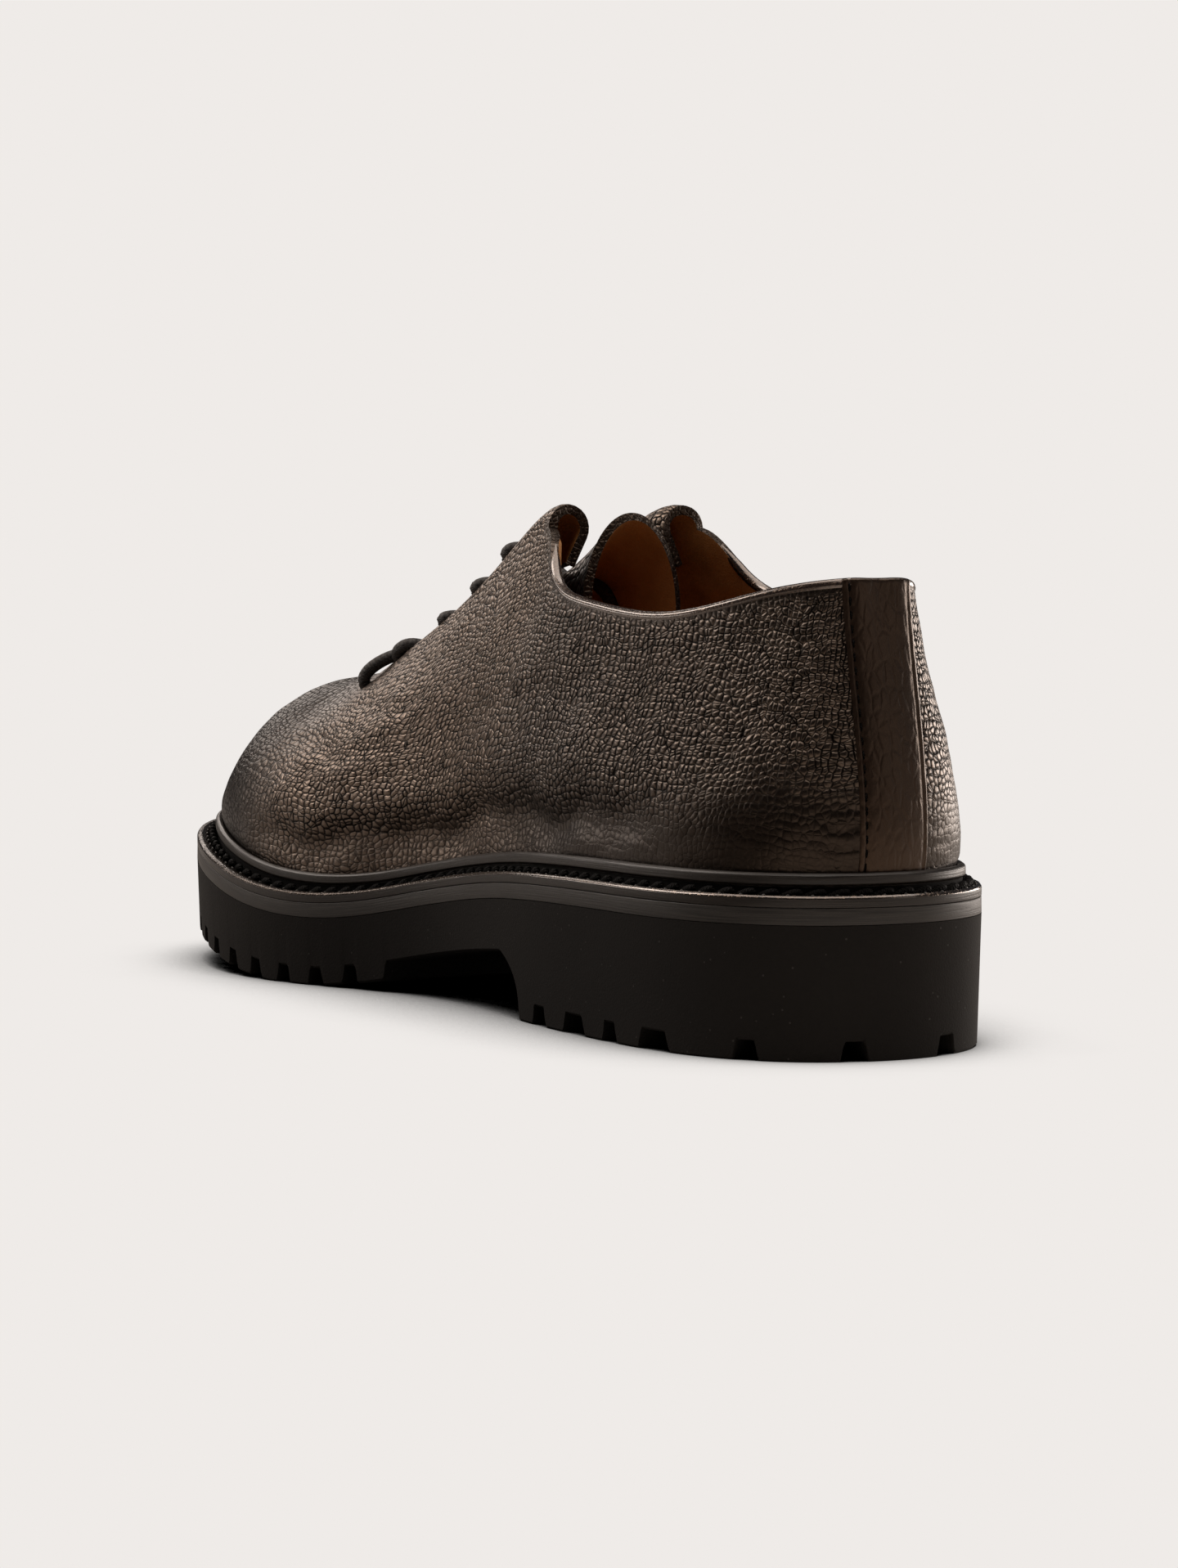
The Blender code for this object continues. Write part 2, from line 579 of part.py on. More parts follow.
def build_tongue(finish):
    """Arched tongue from under the vamp to its free top edge."""
    y = np.linspace(T_ALONG[-1], T_ALONG[0], TONGUE_ROWS)
    turn = np.linspace(-math.pi / 2, math.pi / 2, TONGUE_FOLDS + 1)
    crest, half, drop = (cubic(T_ALONG, c, y)[:, None] for c in (T_CREST, T_HALF, T_DROP))
    x = ridge_aside(y)[:, None] + half * np.sin(turn)
    grid = np.stack([x, np.broadcast_to(y[:, None], x.shape), crest - drop * (1 - np.cos(turn))], -1)
    return sheet("tongue", grid, 0.0, TONGUE_WALL, finish)


def build_lace(finish):
    """The crossings of the lace from eyelet to eyelet over the tongue, joined into one cord."""
    ends = {(side, i): eyelet(side, *row) for i, row in enumerate(EYELETS) for side in (-1, 1)}
    cords = []
    for i in range(len(EYELETS) - 1):
        for side in (-1, 1):
            (a, out_a, crest_a, up_a), (b, out_b, crest_b, up_b) = ends[side, i + 1], ends[-side, i]
            lift = LACE_RADIUS + 0.0007
            middle = (crest_a + crest_b) / 2
            middle[2] += lift + 0.0003 * side - LACE_SAG
            knots = np.array([a + out_a * lift, crest_a + up_a * lift, middle,
                              crest_b + up_b * lift, b + out_b * lift])
            run = np.concatenate([[0], np.cumsum(np.linalg.norm(np.diff(knots, axis=0), axis=1))])
            at = np.linspace(0, run[-1], 11)
            cords.append(tube(np.column_stack([cubic(run, k, at) for k in knots.T]), LACE_RADIUS))
    lace = make("lace", *cords[0], finish)
    combine(lace, "UNION", several("lace_crossings", cords[1:], finish)).use_self = True
    return lace


for old in list(bpy.context.scene.objects):
    bpy.data.objects.remove(old)

foam = material("foam_rubber", (0.018, 0.018, 0.019), 0.85)
band = material("midsole_leather", (0.045, 0.042, 0.04), 0.6)
leather = material("pebbled_leather", (0.05, 0.033, 0.024), 0.42)
edging = material("welt_leather", (0.03, 0.027, 0.025), 0.5)
lining = material("lining_leather", (0.36, 0.2, 0.1), 0.6)
cord = material("waxed_lace", (0.03, 0.026, 0.023), 0.6)

build_outsole(foam)
slab("midsole", ((0.0004, FIT_GAP), (0.0, FIT_GAP + 0.0005),
                 (0.0, MIDSOLE_TOP - 0.0005), (0.0004, MIDSOLE_TOP)), band)
build_welt(edging)
build_upper(leather)
build_backstay(leather)
build_tongue(leather)
foot_room = ledge(loop_places()) + LIP_WIDTH + UPPER_WALL + 3 * FIT_GAP
slab("insole", ((foot_room, MIDSOLE_TOP + FIT_GAP), (foot_room, MIDSOLE_TOP + FIT_GAP + INSOLE)), lining)
build_lace(cord)
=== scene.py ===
# %% [markdown]
# # A lug sole derby shoe
# This lesson dresses a right shoe: a hollow leather upper, a storm welt sewn round it, and a thick foam
# sole with lugs. Each piece is a surface worked out with numpy and laid where the packed solids are.

# %% Load the frame
import math

import bmesh
import bpy
import numpy as np
from mathutils import Matrix


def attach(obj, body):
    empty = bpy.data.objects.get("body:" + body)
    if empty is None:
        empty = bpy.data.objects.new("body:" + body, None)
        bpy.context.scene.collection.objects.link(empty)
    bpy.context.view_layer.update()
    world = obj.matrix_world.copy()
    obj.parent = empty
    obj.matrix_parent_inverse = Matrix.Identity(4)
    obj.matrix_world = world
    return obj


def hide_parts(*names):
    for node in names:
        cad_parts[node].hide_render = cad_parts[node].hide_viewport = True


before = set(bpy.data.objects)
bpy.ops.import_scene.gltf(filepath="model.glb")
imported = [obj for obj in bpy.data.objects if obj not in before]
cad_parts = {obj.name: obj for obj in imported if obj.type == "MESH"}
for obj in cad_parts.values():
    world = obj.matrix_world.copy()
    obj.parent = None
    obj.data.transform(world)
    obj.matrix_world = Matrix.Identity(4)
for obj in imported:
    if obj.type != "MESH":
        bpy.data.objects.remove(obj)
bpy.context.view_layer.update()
MM = 0.001
print("solids:", ", ".join(sorted(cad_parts)))

# %% [markdown]
# ## The last
# A shoemaker starts from a last. Here it is a set of short tables in millimetres, with smooth curves
# through them: the sole's outline, the sole's side view, and the upper's rulings from welt to collar.
# The same tables drive the solids, so every piece meets its neighbour.

# %% Sizes and tables
LENGTH = 300 * MM
FIT_GAP, LEATHER, TONGUE_WALL = 0.3 * MM, 2.2 * MM, 2.0 * MM
SLAB, LUG_DEPTH, SIDE_DRAFT = 12 * MM, 4.3 * MM, 0.8 * MM
MIDSOLE_TOP, LIP_TOP, LIP_WIDTH = 3.7 * MM, 10.2 * MM, 1.7 * MM
BACKSTAY_WIDTH, LACE_RADIUS = 17 * MM, 1.6 * MM

# along, inner half width, outer half width, ledge outside the storm lip
OUTLINE = np.array((
    (9, 24.5, 24.0, 3.8), (24, 34.8, 34.0, 3.8), (42, 39.2, 38.2, 3.7), (66, 40.0, 38.6, 3.6),
    (90, 39.0, 39.0, 3.6), (120, 35.5, 41.2, 3.7), (146, 34.5, 45.8, 3.9), (168, 39.0, 51.0, 4.2),
    (190, 47.0, 55.0, 4.6), (210, 52.0, 55.8, 4.8), (232, 52.3, 52.5, 5.0), (256, 46.2, 45.2, 5.2),
    (276, 36.4, 34.8, 5.2), (291, 22.6, 20.6, 5.2))).T * MM
TOE_ASIDE, HEEL_LEDGE, TOE_LEDGE = -1.5 * MM, 3.8 * MM, 5.2 * MM

# along, top of the outsole, lowest point of its lugs
PROFILE = np.array((
    (0, 28.5, 0.0), (45, 28.5, 0.0), (90, 28.0, 0.0), (117, 26.4, 0.0), (140, 23.8, 0.0),
    (158, 20.9, 4.4), (173, 18.2, 1.9), (188, 16.7, 0.0), (205, 17.2, 0.0), (220, 19.3, 1.5),
    (236, 22.3, 4.0), (255, 25.3, 7.0), (278, 27.8, 9.9), (300, 29.4, 11.8))).T * MM

# foot, half, flare, top_along, top_height, foot_lean, foot_reach, top_rise, top_reach, roll, turn, flap
SECTIONS = np.array((
    (0, 0.0, 0.0, 12.2, 99.9, 13, 0.25, 84, 0.30, 5.4, 205, 7.5),
    (8, 8.6, 0.0, 13.2, 99.8, 13, 0.25, 84, 0.30, 5.4, 205, 7.5),
    (32, 20.0, 0.0, 30.0, 96.8, 12, 0.26, 84, 0.30, 5.4, 205, 7.5),
    (60, 27.0, 0.0, 55.0, 92.6, 10, 0.30, 82, 0.32, 5.4, 205, 7.5),
    (90, 28.4, 0.6, 84.0, 94.8, 9, 0.34, 80, 0.34, 5.4, 205, 7.5),
    (118, 24.6, 2.6, 108.0, 102.8, 9, 0.36, 80, 0.34, 5.4, 205, 7.5),
    (134, 20.0, 1.8, 117.5, 111.6, 10, 0.36, 88, 0.34, 5.4, 205, 7.5),
    (160, 17.8, 0.6, 148.0, 100.2, 12, 0.36, 70, 0.34, 5.0, 110, 5.0),
    (190, 16.5, 0.0, 181.5, 85.8, 14, 0.38, 52, 0.36, 4.8, 75, 4.5),
    (222, 11.0, 0.0, 216.0, 76.0, 16, 0.40, 30, 0.40, 5.0, 40, 2.5),
    (244, 0.0, 0.0, 238.0, 74.4, 18, 0.38, 2, 0.40, 5.0, 4, 0.2),
    (262, 0.0, 0.0, 251.0, 69.6, 20, 0.30, 4, 0.30, 5.0, 4, 0.2),
    (280, 0.0, 0.0, 264.0, 63.6, 24, 0.31, 9, 0.29, 5.0, 4, 0.2),
    (292, 0.0, 0.0, 273.0, 58.8, 26, 0.36, 21, 0.31, 5.0, 4, 0.2),
    (300, 0.0, 0.0, 276.5, 56.6, 26, 0.42, 33, 0.34, 5.0, 4, 0.2))).T
FACING_TOP, THROAT_END, RIDGE_ASIDE = 134 * MM, 244 * MM, -3 * MM
print("sections of the upper:", SECTIONS.shape[1], "places on the outline:", OUTLINE.shape[1])

# %% Smooth curves
def cubic(knots, values, at, period=None):
    """Smooth curve through the knots: piecewise cubics with equal slope and bend where they join."""
    k, v, x = (np.asarray(a, float) for a in (knots, values, at))
    n = len(k)
    if period:
        h = np.diff(np.append(k, k[0] + period))
        slope = (np.roll(v, -1) - v) / h
        a = np.diag(2 * (np.roll(h, 1) + h))
        for i in range(n):
            a[i, i - 1] += h[i - 1]
            a[i, (i + 1) % n] += h[i]
        bend = np.linalg.solve(a, 6 * (slope - np.roll(slope, 1)))
        x = (x - k[0]) % period + k[0]
        i = np.clip(np.searchsorted(k, x, side="right") - 1, 0, n - 1)
    else:
        h = np.diff(k)
        slope = np.diff(v) / h
        a = np.eye(n)
        for i in range(1, n - 1):
            a[i, i - 1:i + 2] = h[i - 1], 2 * (h[i - 1] + h[i]), h[i]
        bend = np.linalg.solve(a, np.concatenate(([0], 6 * np.diff(slope), [0])))
        i = np.clip(np.searchsorted(k, x, side="right") - 1, 0, n - 2)
    j = (i + 1) % n
    s = x - k[i]
    r = h[i] - s
    return ((bend[i] * r**3 + bend[j] * s**3) / (6 * h[i]) + (v[i] / h[i] - bend[i] * h[i] / 6) * r
            + (v[j] / h[i] - bend[j] * h[i] / 6) * s)


def round_of(along):
    """Place round half the outline: 0 at the heel, 1 at the toe, even in angle."""
    return np.arccos(np.clip(1 - 2 * np.asarray(along) / LENGTH, -1, 1)) / math.pi


def unit(v):
    """Vectors divided by their lengths."""
    return v / np.maximum(np.linalg.norm(v, axis=-1, keepdims=True), 1e-12)


def step_up(x, low, high):
    """0 below low, 1 above high, and a smooth cubic between."""
    t = np.clip((np.asarray(x) - low) / (high - low), 0, 1)
    return t * t * (3 - 2 * t)


def run_along(points):
    """Distance walked from the first point of a path to each of its points."""
    return np.concatenate([[0], np.cumsum(np.linalg.norm(np.diff(points, axis=0), axis=1))])


print("halfway along, the place is", round_of(LENGTH / 2))

# %% Outline of the sole
O_ROUND = round_of(OUTLINE[0])
LOOP = np.concatenate(([-1], -O_ROUND[::-1], [0], O_ROUND))
LOOP_ASIDE = np.concatenate(([TOE_ASIDE], -OUTLINE[1][::-1], [0], OUTLINE[2]))
LOOP_LEDGE = np.concatenate(([TOE_LEDGE], OUTLINE[3][::-1], [HEEL_LEDGE], OUTLINE[3]))


def outline(around):
    """Edge of the sole: -1 toe, then the inner side, 0 heel, the outer side, 1 toe."""
    around = np.asarray(around, float)
    return np.stack([cubic(LOOP, LOOP_ASIDE, around, 2.0), LENGTH / 2 * (1 - np.cos(math.pi * around))], -1)


def rim(around, inset):
    """The outline moved inwards along its own normal."""
    around = np.asarray(around, float)
    way = unit(outline(around + 1e-4) - outline(around - 1e-4))
    return outline(around) + np.stack([-way[..., 1], way[..., 0]], -1) * np.asarray(inset)[..., None]


def ledge(around):
    """Width of the welt's ledge outside the storm lip."""
    return cubic(LOOP, LOOP_LEDGE, around, 2.0)


def sole_top(along):
    """Height of the outsole's upper face."""
    return cubic(PROFILE[0], PROFILE[1], along)


def tread(along):
    """Height of the lugs' lowest faces, straight between the table's places."""
    return np.maximum(np.interp(along, PROFILE[0], PROFILE[2]), 0.0)


fine_loop = outline(np.linspace(-1, 1, 2001))
MIDDLE = np.array([(fine_loop[:, 0].min() + fine_loop[:, 0].max()) / 2, LENGTH / 2, 0.0])
print("middle of the sole:", MIDDLE.round(5))


# %% Even places
def even_places(count):
    """Places round one half, 0 to 1, evenly spaced along the mean of both sides' edges."""
    fine = np.linspace(0, 1, 4001)
    run = sum(run_along(outline(s * fine)) for s in (-1, 1))
    return np.interp(np.linspace(0, run[-1], count + 1), run, fine)


def loop_places(count):
    """The same places all the way round, from the toe along the inner side and back on the outer side."""
    half = even_places(count)
    return np.concatenate((-half[::-1], half[1:-1]))


def halves(count):
    """Numbers of the loop's points from heel to toe, on the inner and on the outer side."""
    steps = np.arange(count + 1)
    return count - steps, (count + steps) % (2 * count)


print("places for eight even steps:", even_places(8).round(3))

# %% [markdown]
# ## Turning arrays into pieces
# A grid of points becomes a mesh of quads. The points are kept in the last's own frame, with the heel at
# zero, and moved once so that the origin lies under the middle of the sole, as in the solids.

# %% Mesh helpers
MERGE, SLIVER = 2e-6, 1e-7


def woven(rows, cols, close_cols=False, close_rows=False):
    """Quads of a grid stored column by column; rows climb and columns run to the right."""
    i, j = np.meshgrid(np.arange(rows if close_rows else rows - 1),
                       np.arange(cols if close_cols else cols - 1), indexing="ij")
    i, j = i.ravel(), j.ravel()
    up, right = (i + 1) % rows, (j + 1) % cols
    return np.stack([j * rows + i, right * rows + i, right * rows + up, j * rows + up], -1)


def piece(name, points, quads, finishes, slot, uv=None, indices=None, sharp=None, marks=None):
    """A mesh object at the origin, its doubles merged, riding on the shoe."""
    mesh = bpy.data.meshes.new(name)
    mesh.from_pydata((np.asarray(points) - MIDDLE).tolist(), [], np.asarray(quads).tolist())
    for finish in finishes:
        mesh.materials.append(finish)
    if indices is not None:
        mesh.polygons.foreach_set("material_index", np.asarray(indices, np.int32))
    if uv is not None:
        corner = np.zeros(len(mesh.loops), np.int32)
        mesh.loops.foreach_get("vertex_index", corner)
        mesh.uv_layers.new(name="UVMap").data.foreach_set("uv", np.asarray(uv)[corner].ravel())
    for label, values in (marks or {}).items():
        mesh.attributes.new(label, "FLOAT", "POINT").data.foreach_set("value", np.asarray(values, np.float32))
    work = bmesh.new()
    work.from_mesh(mesh)
    bmesh.ops.remove_doubles(work, verts=work.verts, dist=MERGE)
    bmesh.ops.dissolve_degenerate(work, edges=work.edges, dist=SLIVER)
    work.to_mesh(mesh)
    work.free()
    item = bpy.data.objects.new(name, mesh)
    bpy.context.scene.collection.objects.link(item)
    smooth(item, sharp)
    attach(item, "root")
    return item


def smooth(item, sharp=None):
    """Shades an item smooth, apart from edges sharper than the given angle in degrees."""
    item.data.polygons.foreach_set("use_smooth", np.ones(len(item.data.polygons), bool))
    if sharp:
        item.data.set_sharp_from_angle(angle=math.radians(sharp))
    item.data.update()


print("quads in a grid of 3 by 4 points:", len(woven(3, 4)))


# %% Walls, tubes and groups
def thicken(item, wall, edge=None, sharp=40, even=False):
    """Gives a sheet its wall inwards, then bakes it. With an edge radius, the second finish goes inside,
    the third on the rim, and sharp corners are rounded."""
    shell = item.modifiers.new("Wall", "SOLIDIFY")
    shell.thickness, shell.offset, shell.use_even_offset = wall, -1, even
    if edge:
        shell.material_offset, shell.material_offset_rim = 1, 2
        rounding = item.modifiers.new("Edges", "BEVEL")
        rounding.width, rounding.segments, rounding.limit_method = edge, 3, "ANGLE"
        rounding.angle_limit = math.radians(50)
    graph = bpy.context.evaluated_depsgraph_get()
    done = bpy.data.meshes.new_from_object(item.evaluated_get(graph), preserve_all_data_layers=True,
                                           depsgraph=graph)
    item.modifiers.clear()
    item.data = done
    smooth(item, sharp)


def tube(path, radius, sides):
    """Round cord: a circle carried along a path, its ends drawn in to a point."""
    path = np.asarray(path)
    way = unit(np.gradient(path, axis=0))
    across = unit(np.cross(way, np.array([0.0, 0.0, 1.0])))
    above = np.cross(across, way)
    turn = np.arange(sides) * 2 * math.pi / sides
    size = np.broadcast_to(np.asarray(radius, float), (len(path),)).copy()
    size[[0, -1]] *= 0.02
    ring = np.cos(turn)[:, None] * across[:, None] + np.sin(turn)[:, None] * above[:, None]
    points = (path[:, None] + size[:, None, None] * ring).reshape(-1, 3)
    return points, woven(sides, len(path), close_rows=True)[:, ::-1]


def gathered(forms):
    """Several (points, quads) forms as one."""
    points, quads, first = [], [], 0
    for p, q in forms:
        points.append(p)
        quads.append(q + first)
        first += len(p)
    return np.concatenate(points), np.concatenate(quads)


def cord_map(counts, sides, spacing):
    """UV of several tubes: the share of a turn round each one, and the metres along it."""
    return np.concatenate([np.column_stack([np.tile(np.arange(sides) / sides, n),
                                            np.repeat(np.arange(n), sides) * spacing]) for n in counts])


print("map of a cord of 3 rings:", cord_map([3], 4, MM).shape)

# %% [markdown]
# ## Finishes
# Leather, foam, edge paint and waxed cord are built from noise and cell textures on Object coordinates,
# so a grain keeps its size in metres wherever the surface bends. Each texture is a node, and a finish
# joins dozens of them. A small class lets a finish be written as a sum, because a + b is easier to read
# than a Math node with two links.

# %% Node helpers
class Grain:
    """A value in a finish's node tree: + - * / on it add Math nodes."""

    def __init__(self, tree, socket):
        self.tree, self.socket = tree, socket

    def math(self, operation, other=0.0):
        return wire(self.tree, "ShaderNodeMath", {0: self, 1: other}, operation=operation)

    def __add__(self, other):
        return self.math("ADD", other)

    def __sub__(self, other):
        return self.math("SUBTRACT", other)

    def __rsub__(self, other):
        return wire(self.tree, "ShaderNodeMath", {0: other, 1: self}, operation="SUBTRACT")

    def __mul__(self, other):
        return self.math("MULTIPLY", other)

    def __truediv__(self, other):
        return self.math("DIVIDE", other)

    def part(self, axis):
        return wire(self.tree, "ShaderNodeSeparateXYZ", {0: self}, out=axis)

    def into(self, node, name):
        self.tree.links.new(self.socket, node.inputs[name])


def wire(tree, kind, inputs, out=0, **settings):
    """Adds a node, fills or links its inputs, and returns one output."""
    made = tree.nodes.new(kind)
    for key, value in settings.items():
        setattr(made, key, value)
    for key, value in inputs.items():
        if isinstance(value, Grain):
            tree.links.new(value.socket, made.inputs[key])
        else:
            made.inputs[key].default_value = value
    return Grain(tree, made.outputs[out])


print("values of a finish are written with", ", ".join(k for k in vars(Grain) if not k.startswith("_")))


# %% Textures and blends
def ramp(value, low, high, start=0.0, end=1.0):
    """Smooth change from start to end while value goes from low to high."""
    return wire(value.tree, "ShaderNodeMapRange", {"Value": value, "From Min": low, "From Max": high,
                                                   "To Min": start, "To Max": end}, interpolation_type="SMOOTHSTEP")


def blend(share, a, b):
    """Colour a where share is 0 and colour b where it is 1."""
    a, b = (c if isinstance(c, Grain) else (*c, 1) for c in (a, b))
    return wire(share.tree, "ShaderNodeMix", {0: share, 6: a, 7: b}, out=2, data_type="RGBA")


def scaled(vector, size):
    """Coordinates divided by a cell's size, or its three sizes, in metres."""
    sizes = size if isinstance(size, tuple) else (size,) * 3
    return wire(vector.tree, "ShaderNodeMapping", {"Vector": vector, "Scale": tuple(1 / s for s in sizes)})


def noise(vector, size, detail=2.0, out="Fac"):
    """Clouds of about the given size, with finer ones on them."""
    return wire(vector.tree, "ShaderNodeTexNoise", {"Vector": scaled(vector, size), "Scale": 1.0, "Detail": detail},
                out=out)


def cells(vector, feature="DISTANCE_TO_EDGE", out="Distance", random=1.0, flat=False):
    """Cells round scattered points: the distance to their edges, or to their own points."""
    inputs = {"Vector": vector, "Scale": 1.0, "Randomness": random}
    if feature == "SMOOTH_F1":
        inputs["Smoothness"] = 0.22
    return wire(vector.tree, "ShaderNodeTexVoronoi", inputs, out=out, feature=feature,
                voronoi_dimensions="2D" if flat else "3D")


def warped(vector, place, size, amount):
    """Coordinates pushed about by noise over the place, so that rows of cells wander."""
    tree, push = place.tree, noise(place, size, out="Color")
    push = wire(tree, "ShaderNodeVectorMath", {0: push, 1: (0.5, 0.5, 0.5)}, operation="SUBTRACT")
    push = wire(tree, "ShaderNodeVectorMath", {0: push, "Scale": amount}, operation="SCALE")
    return wire(tree, "ShaderNodeVectorMath", {0: vector, 1: push}, operation="ADD")


def new_finish(name, roughness=0.5, specular=0.5):
    """An empty finish with its shader, its Object coordinates and its UV map."""
    finish = bpy.data.materials.new(name)
    finish.use_nodes = True
    tree = finish.node_tree
    shader = tree.nodes["Principled BSDF"]
    shader.inputs["Roughness"].default_value = roughness
    shader.inputs["Specular IOR Level"].default_value = specular
    where = tree.nodes.new("ShaderNodeTexCoord").outputs
    return finish, shader, Grain(tree, where["Object"]), Grain(tree, where["UV"])


def bump(shader, height, depth):
    wire(height.tree, "ShaderNodeBump", {"Height": height, "Distance": depth, "Strength": 1.0}).into(shader, "Normal")


print("node helpers ready for", bpy.app.version_string)

# %% [markdown]
# ## Leather and lining
# The upper is tumbled leather: small round pebbles, tighter at the heel, with creases between them
# that are painted dark as shade. It is pulled almost smooth above the welt, polished on the vamp and
# burnished at the toe. A scan could show that too, but cells on the skin's own map follow every curve
# and need no picture. Strap, bead, lining and painted edges are smoother, so they share a second recipe
# of fine pores and slow clouds.

# %% Pebbled leather
def pebbled_leather(name, light, dark, cell, depth, zoned=True):
    """Tumbled leather: round topped pebbles parted by narrow creases with painted shade in them, and longer folds
    along the rows.
    Where it is zoned, grain and shine change from heel to toe and from welt to collar."""
    finish, shader, place, skin_uv = new_finish(name)
    shader.inputs["Specular Tint"].default_value = (1.0, 0.77, 0.61, 1)
    back, rise = skin_uv.part("X"), skin_uv.part("Y")
    drift = warped(skin_uv, place, 26 * MM, 9 * MM)
    wavy = warped(warped(drift, place, 4 * MM, 1.1 * MM), place, 1.2 * MM, 0.22 * MM)
    along, climb = wavy.part("X") / cell[0], wavy.part("Y") / cell[1]
    if zoned:
        # the pebbles get smaller towards the heel
        along = along - (back / (-55 * MM)).math("EXPONENT") * 20.0
    grid = wire(place.tree, "ShaderNodeCombineXYZ", {"X": along, "Y": climb})
    fine, round_top = (cells(grid, kind, random=0.68, flat=True) for kind in ("DISTANCE_TO_EDGE", "SMOOTH_F1"))
    own = cells(grid, "F1", "Color", random=0.68, flat=True).part("X")
    coarse = cells(scaled(warped(drift, place, 7 * MM, 3 * MM), (11 * MM, 3.3 * MM, 1.0)), flat=True)
    swell, hair = noise(place, 5.5 * MM), noise(place, 0.30 * MM, detail=3.0)
    near = fine.math("MINIMUM", coarse * 3.5 + 0.02)
    slope = (1.0 - near / 0.30).math("MAXIMUM", 0.0)
    dome = 1.0 - slope * slope * 0.5 - round_top * round_top * 1.5
    strength = 1.0
    if zoned:
        wander = (noise(place, 16 * MM) - 0.5) * (16 * MM)
        above_welt = (rise + wander) * ramp(back, 30 * MM, 85 * MM, 0.5, 1.0)
        from_collar = wire(place.tree, "ShaderNodeAttribute", {}, out="Fac", attribute_name="from_collar")
        strength = ramp(above_welt, 3 * MM, 15 * MM, 0.16, 1.0)
        strength = strength.math("MAXIMUM", ramp(back, 185 * MM, 222 * MM, 0.0, 0.75))
        strength = strength.math("MAXIMUM", ramp(back, 70 * MM, 120 * MM, 0.0, 0.55))
        strength = strength * ramp(back, 205 * MM, 245 * MM, 1.0, 0.55) * ramp(from_collar, 1 * MM, 4 * MM, 0.3, 1.0)
    height = dome * (own * 0.45 + 0.75) * strength + swell * 0.7 + hair * 0.07
    if zoned:
        # short puckers beside the seam at the back
        pucker = (rise / (4.2 * MM) * (2 * math.pi) + swell * 5.0).math("SINE")
        height = height + pucker * ramp(back, 9 * MM, 15 * MM, 0.22, 0.0)
    bump(shader, height, depth)
    # painted shade darkens the creases' colour, strongly in some and only faintly in others
    faint = ramp(noise(place, 2.6 * MM), 0.36, 0.64, 0.0, 0.07)
    valley = ramp(near + faint, 0.02, 0.24).math("MAXIMUM", 1.0 - strength)
    tone = blend(ramp(noise(place, 30 * MM, detail=3.0), 0.35, 0.68), dark, light)
    tone = blend(own * 0.5, tone, [c * 0.6 for c in dark])
    # painted shade: the creases take a quarter of the dark tone
    blend(valley, [c * 0.25 for c in dark], tone).into(shader, "Base Color")
    gloss = ramp(back, 70 * MM, 150 * MM)
    sheen = ramp(gloss, 0.0, 1.0, 0.25, 0.30) if zoned else 0.34
    ((1.0 - valley) * 0.2 + (hair * 0.10 + sheen)).into(shader, "Roughness")
    shine = ramp(valley, 0.0, 1.0, 0.04, 1.2)
    if zoned:
        # the pulled leather low down is duller, the vamp is polished, the toe burnished dark
        shine = shine * ramp(strength, 0.16, 0.8, 0.42, 1.0) * ramp(gloss, 0.4, 1.0, 1.05, 2.1)
        shine = shine * ramp(back, 212 * MM, 252 * MM, 1.0, 0.16)
    shine.into(shader, "Specular IOR Level")
    return finish


upper_leather = pebbled_leather("pebbled_leather", (0.0050, 0.0026, 0.0017), (0.0028, 0.0015, 0.0010),
                                (2.2 * MM, 1.6 * MM), 0.34 * MM)
tongue_leather = pebbled_leather("tongue_leather", (0.0085, 0.0043, 0.0027), (0.0048, 0.0024, 0.0016),
                                 (2.6 * MM, 2.2 * MM), 0.45 * MM, zoned=False)
print("nodes in the upper's leather:", len(upper_leather.node_tree.nodes))


# %% Plain and waxed leather
def plain_leather(name, light, dark, roughness, depth, cell, specular=0.5):
    """Smooth leather or lining: fine pores and slow changes of tone."""
    finish, shader, place, _ = new_finish(name, roughness, specular)
    shader.inputs["Specular Tint"].default_value = (1.0, 0.70, 0.50, 1)
    pores = cells(scaled(warped(place, place, 4 * MM, 1 * MM), cell))
    hair = noise(place, 0.5 * MM, detail=4.0)
    bump(shader, ramp(pores, 0.0, 0.25) + hair * 0.5, depth)
    blend(ramp(noise(place, 12 * MM, detail=4.0), 0.3, 0.7), dark, light).into(shader, "Base Color")
    (hair * 0.16 + (roughness - 0.08)).into(shader, "Roughness")
    return finish


def waxed(finish, toe_coat=None, toe_specular=None):
    """Adds a clear wax coat; with toe values given, it fades along the shoe from the heel to the ball."""
    tree = finish.node_tree
    shader = tree.nodes["Principled BSDF"]
    for name, value in (("Coat Weight", 1.0), ("Coat Roughness", 0.14), ("Coat IOR", 1.8)):
        shader.inputs[name].default_value = value
    if toe_coat is not None:
        length = Grain(tree, tree.nodes["Texture Coordinate"].outputs["Object"]).part("Y")
        for name, value in (("Coat Weight", toe_coat), ("Specular IOR Level", toe_specular)):
            ramp(length, -90 * MM, 20 * MM, 1.0, value).into(shader, name)
    return finish


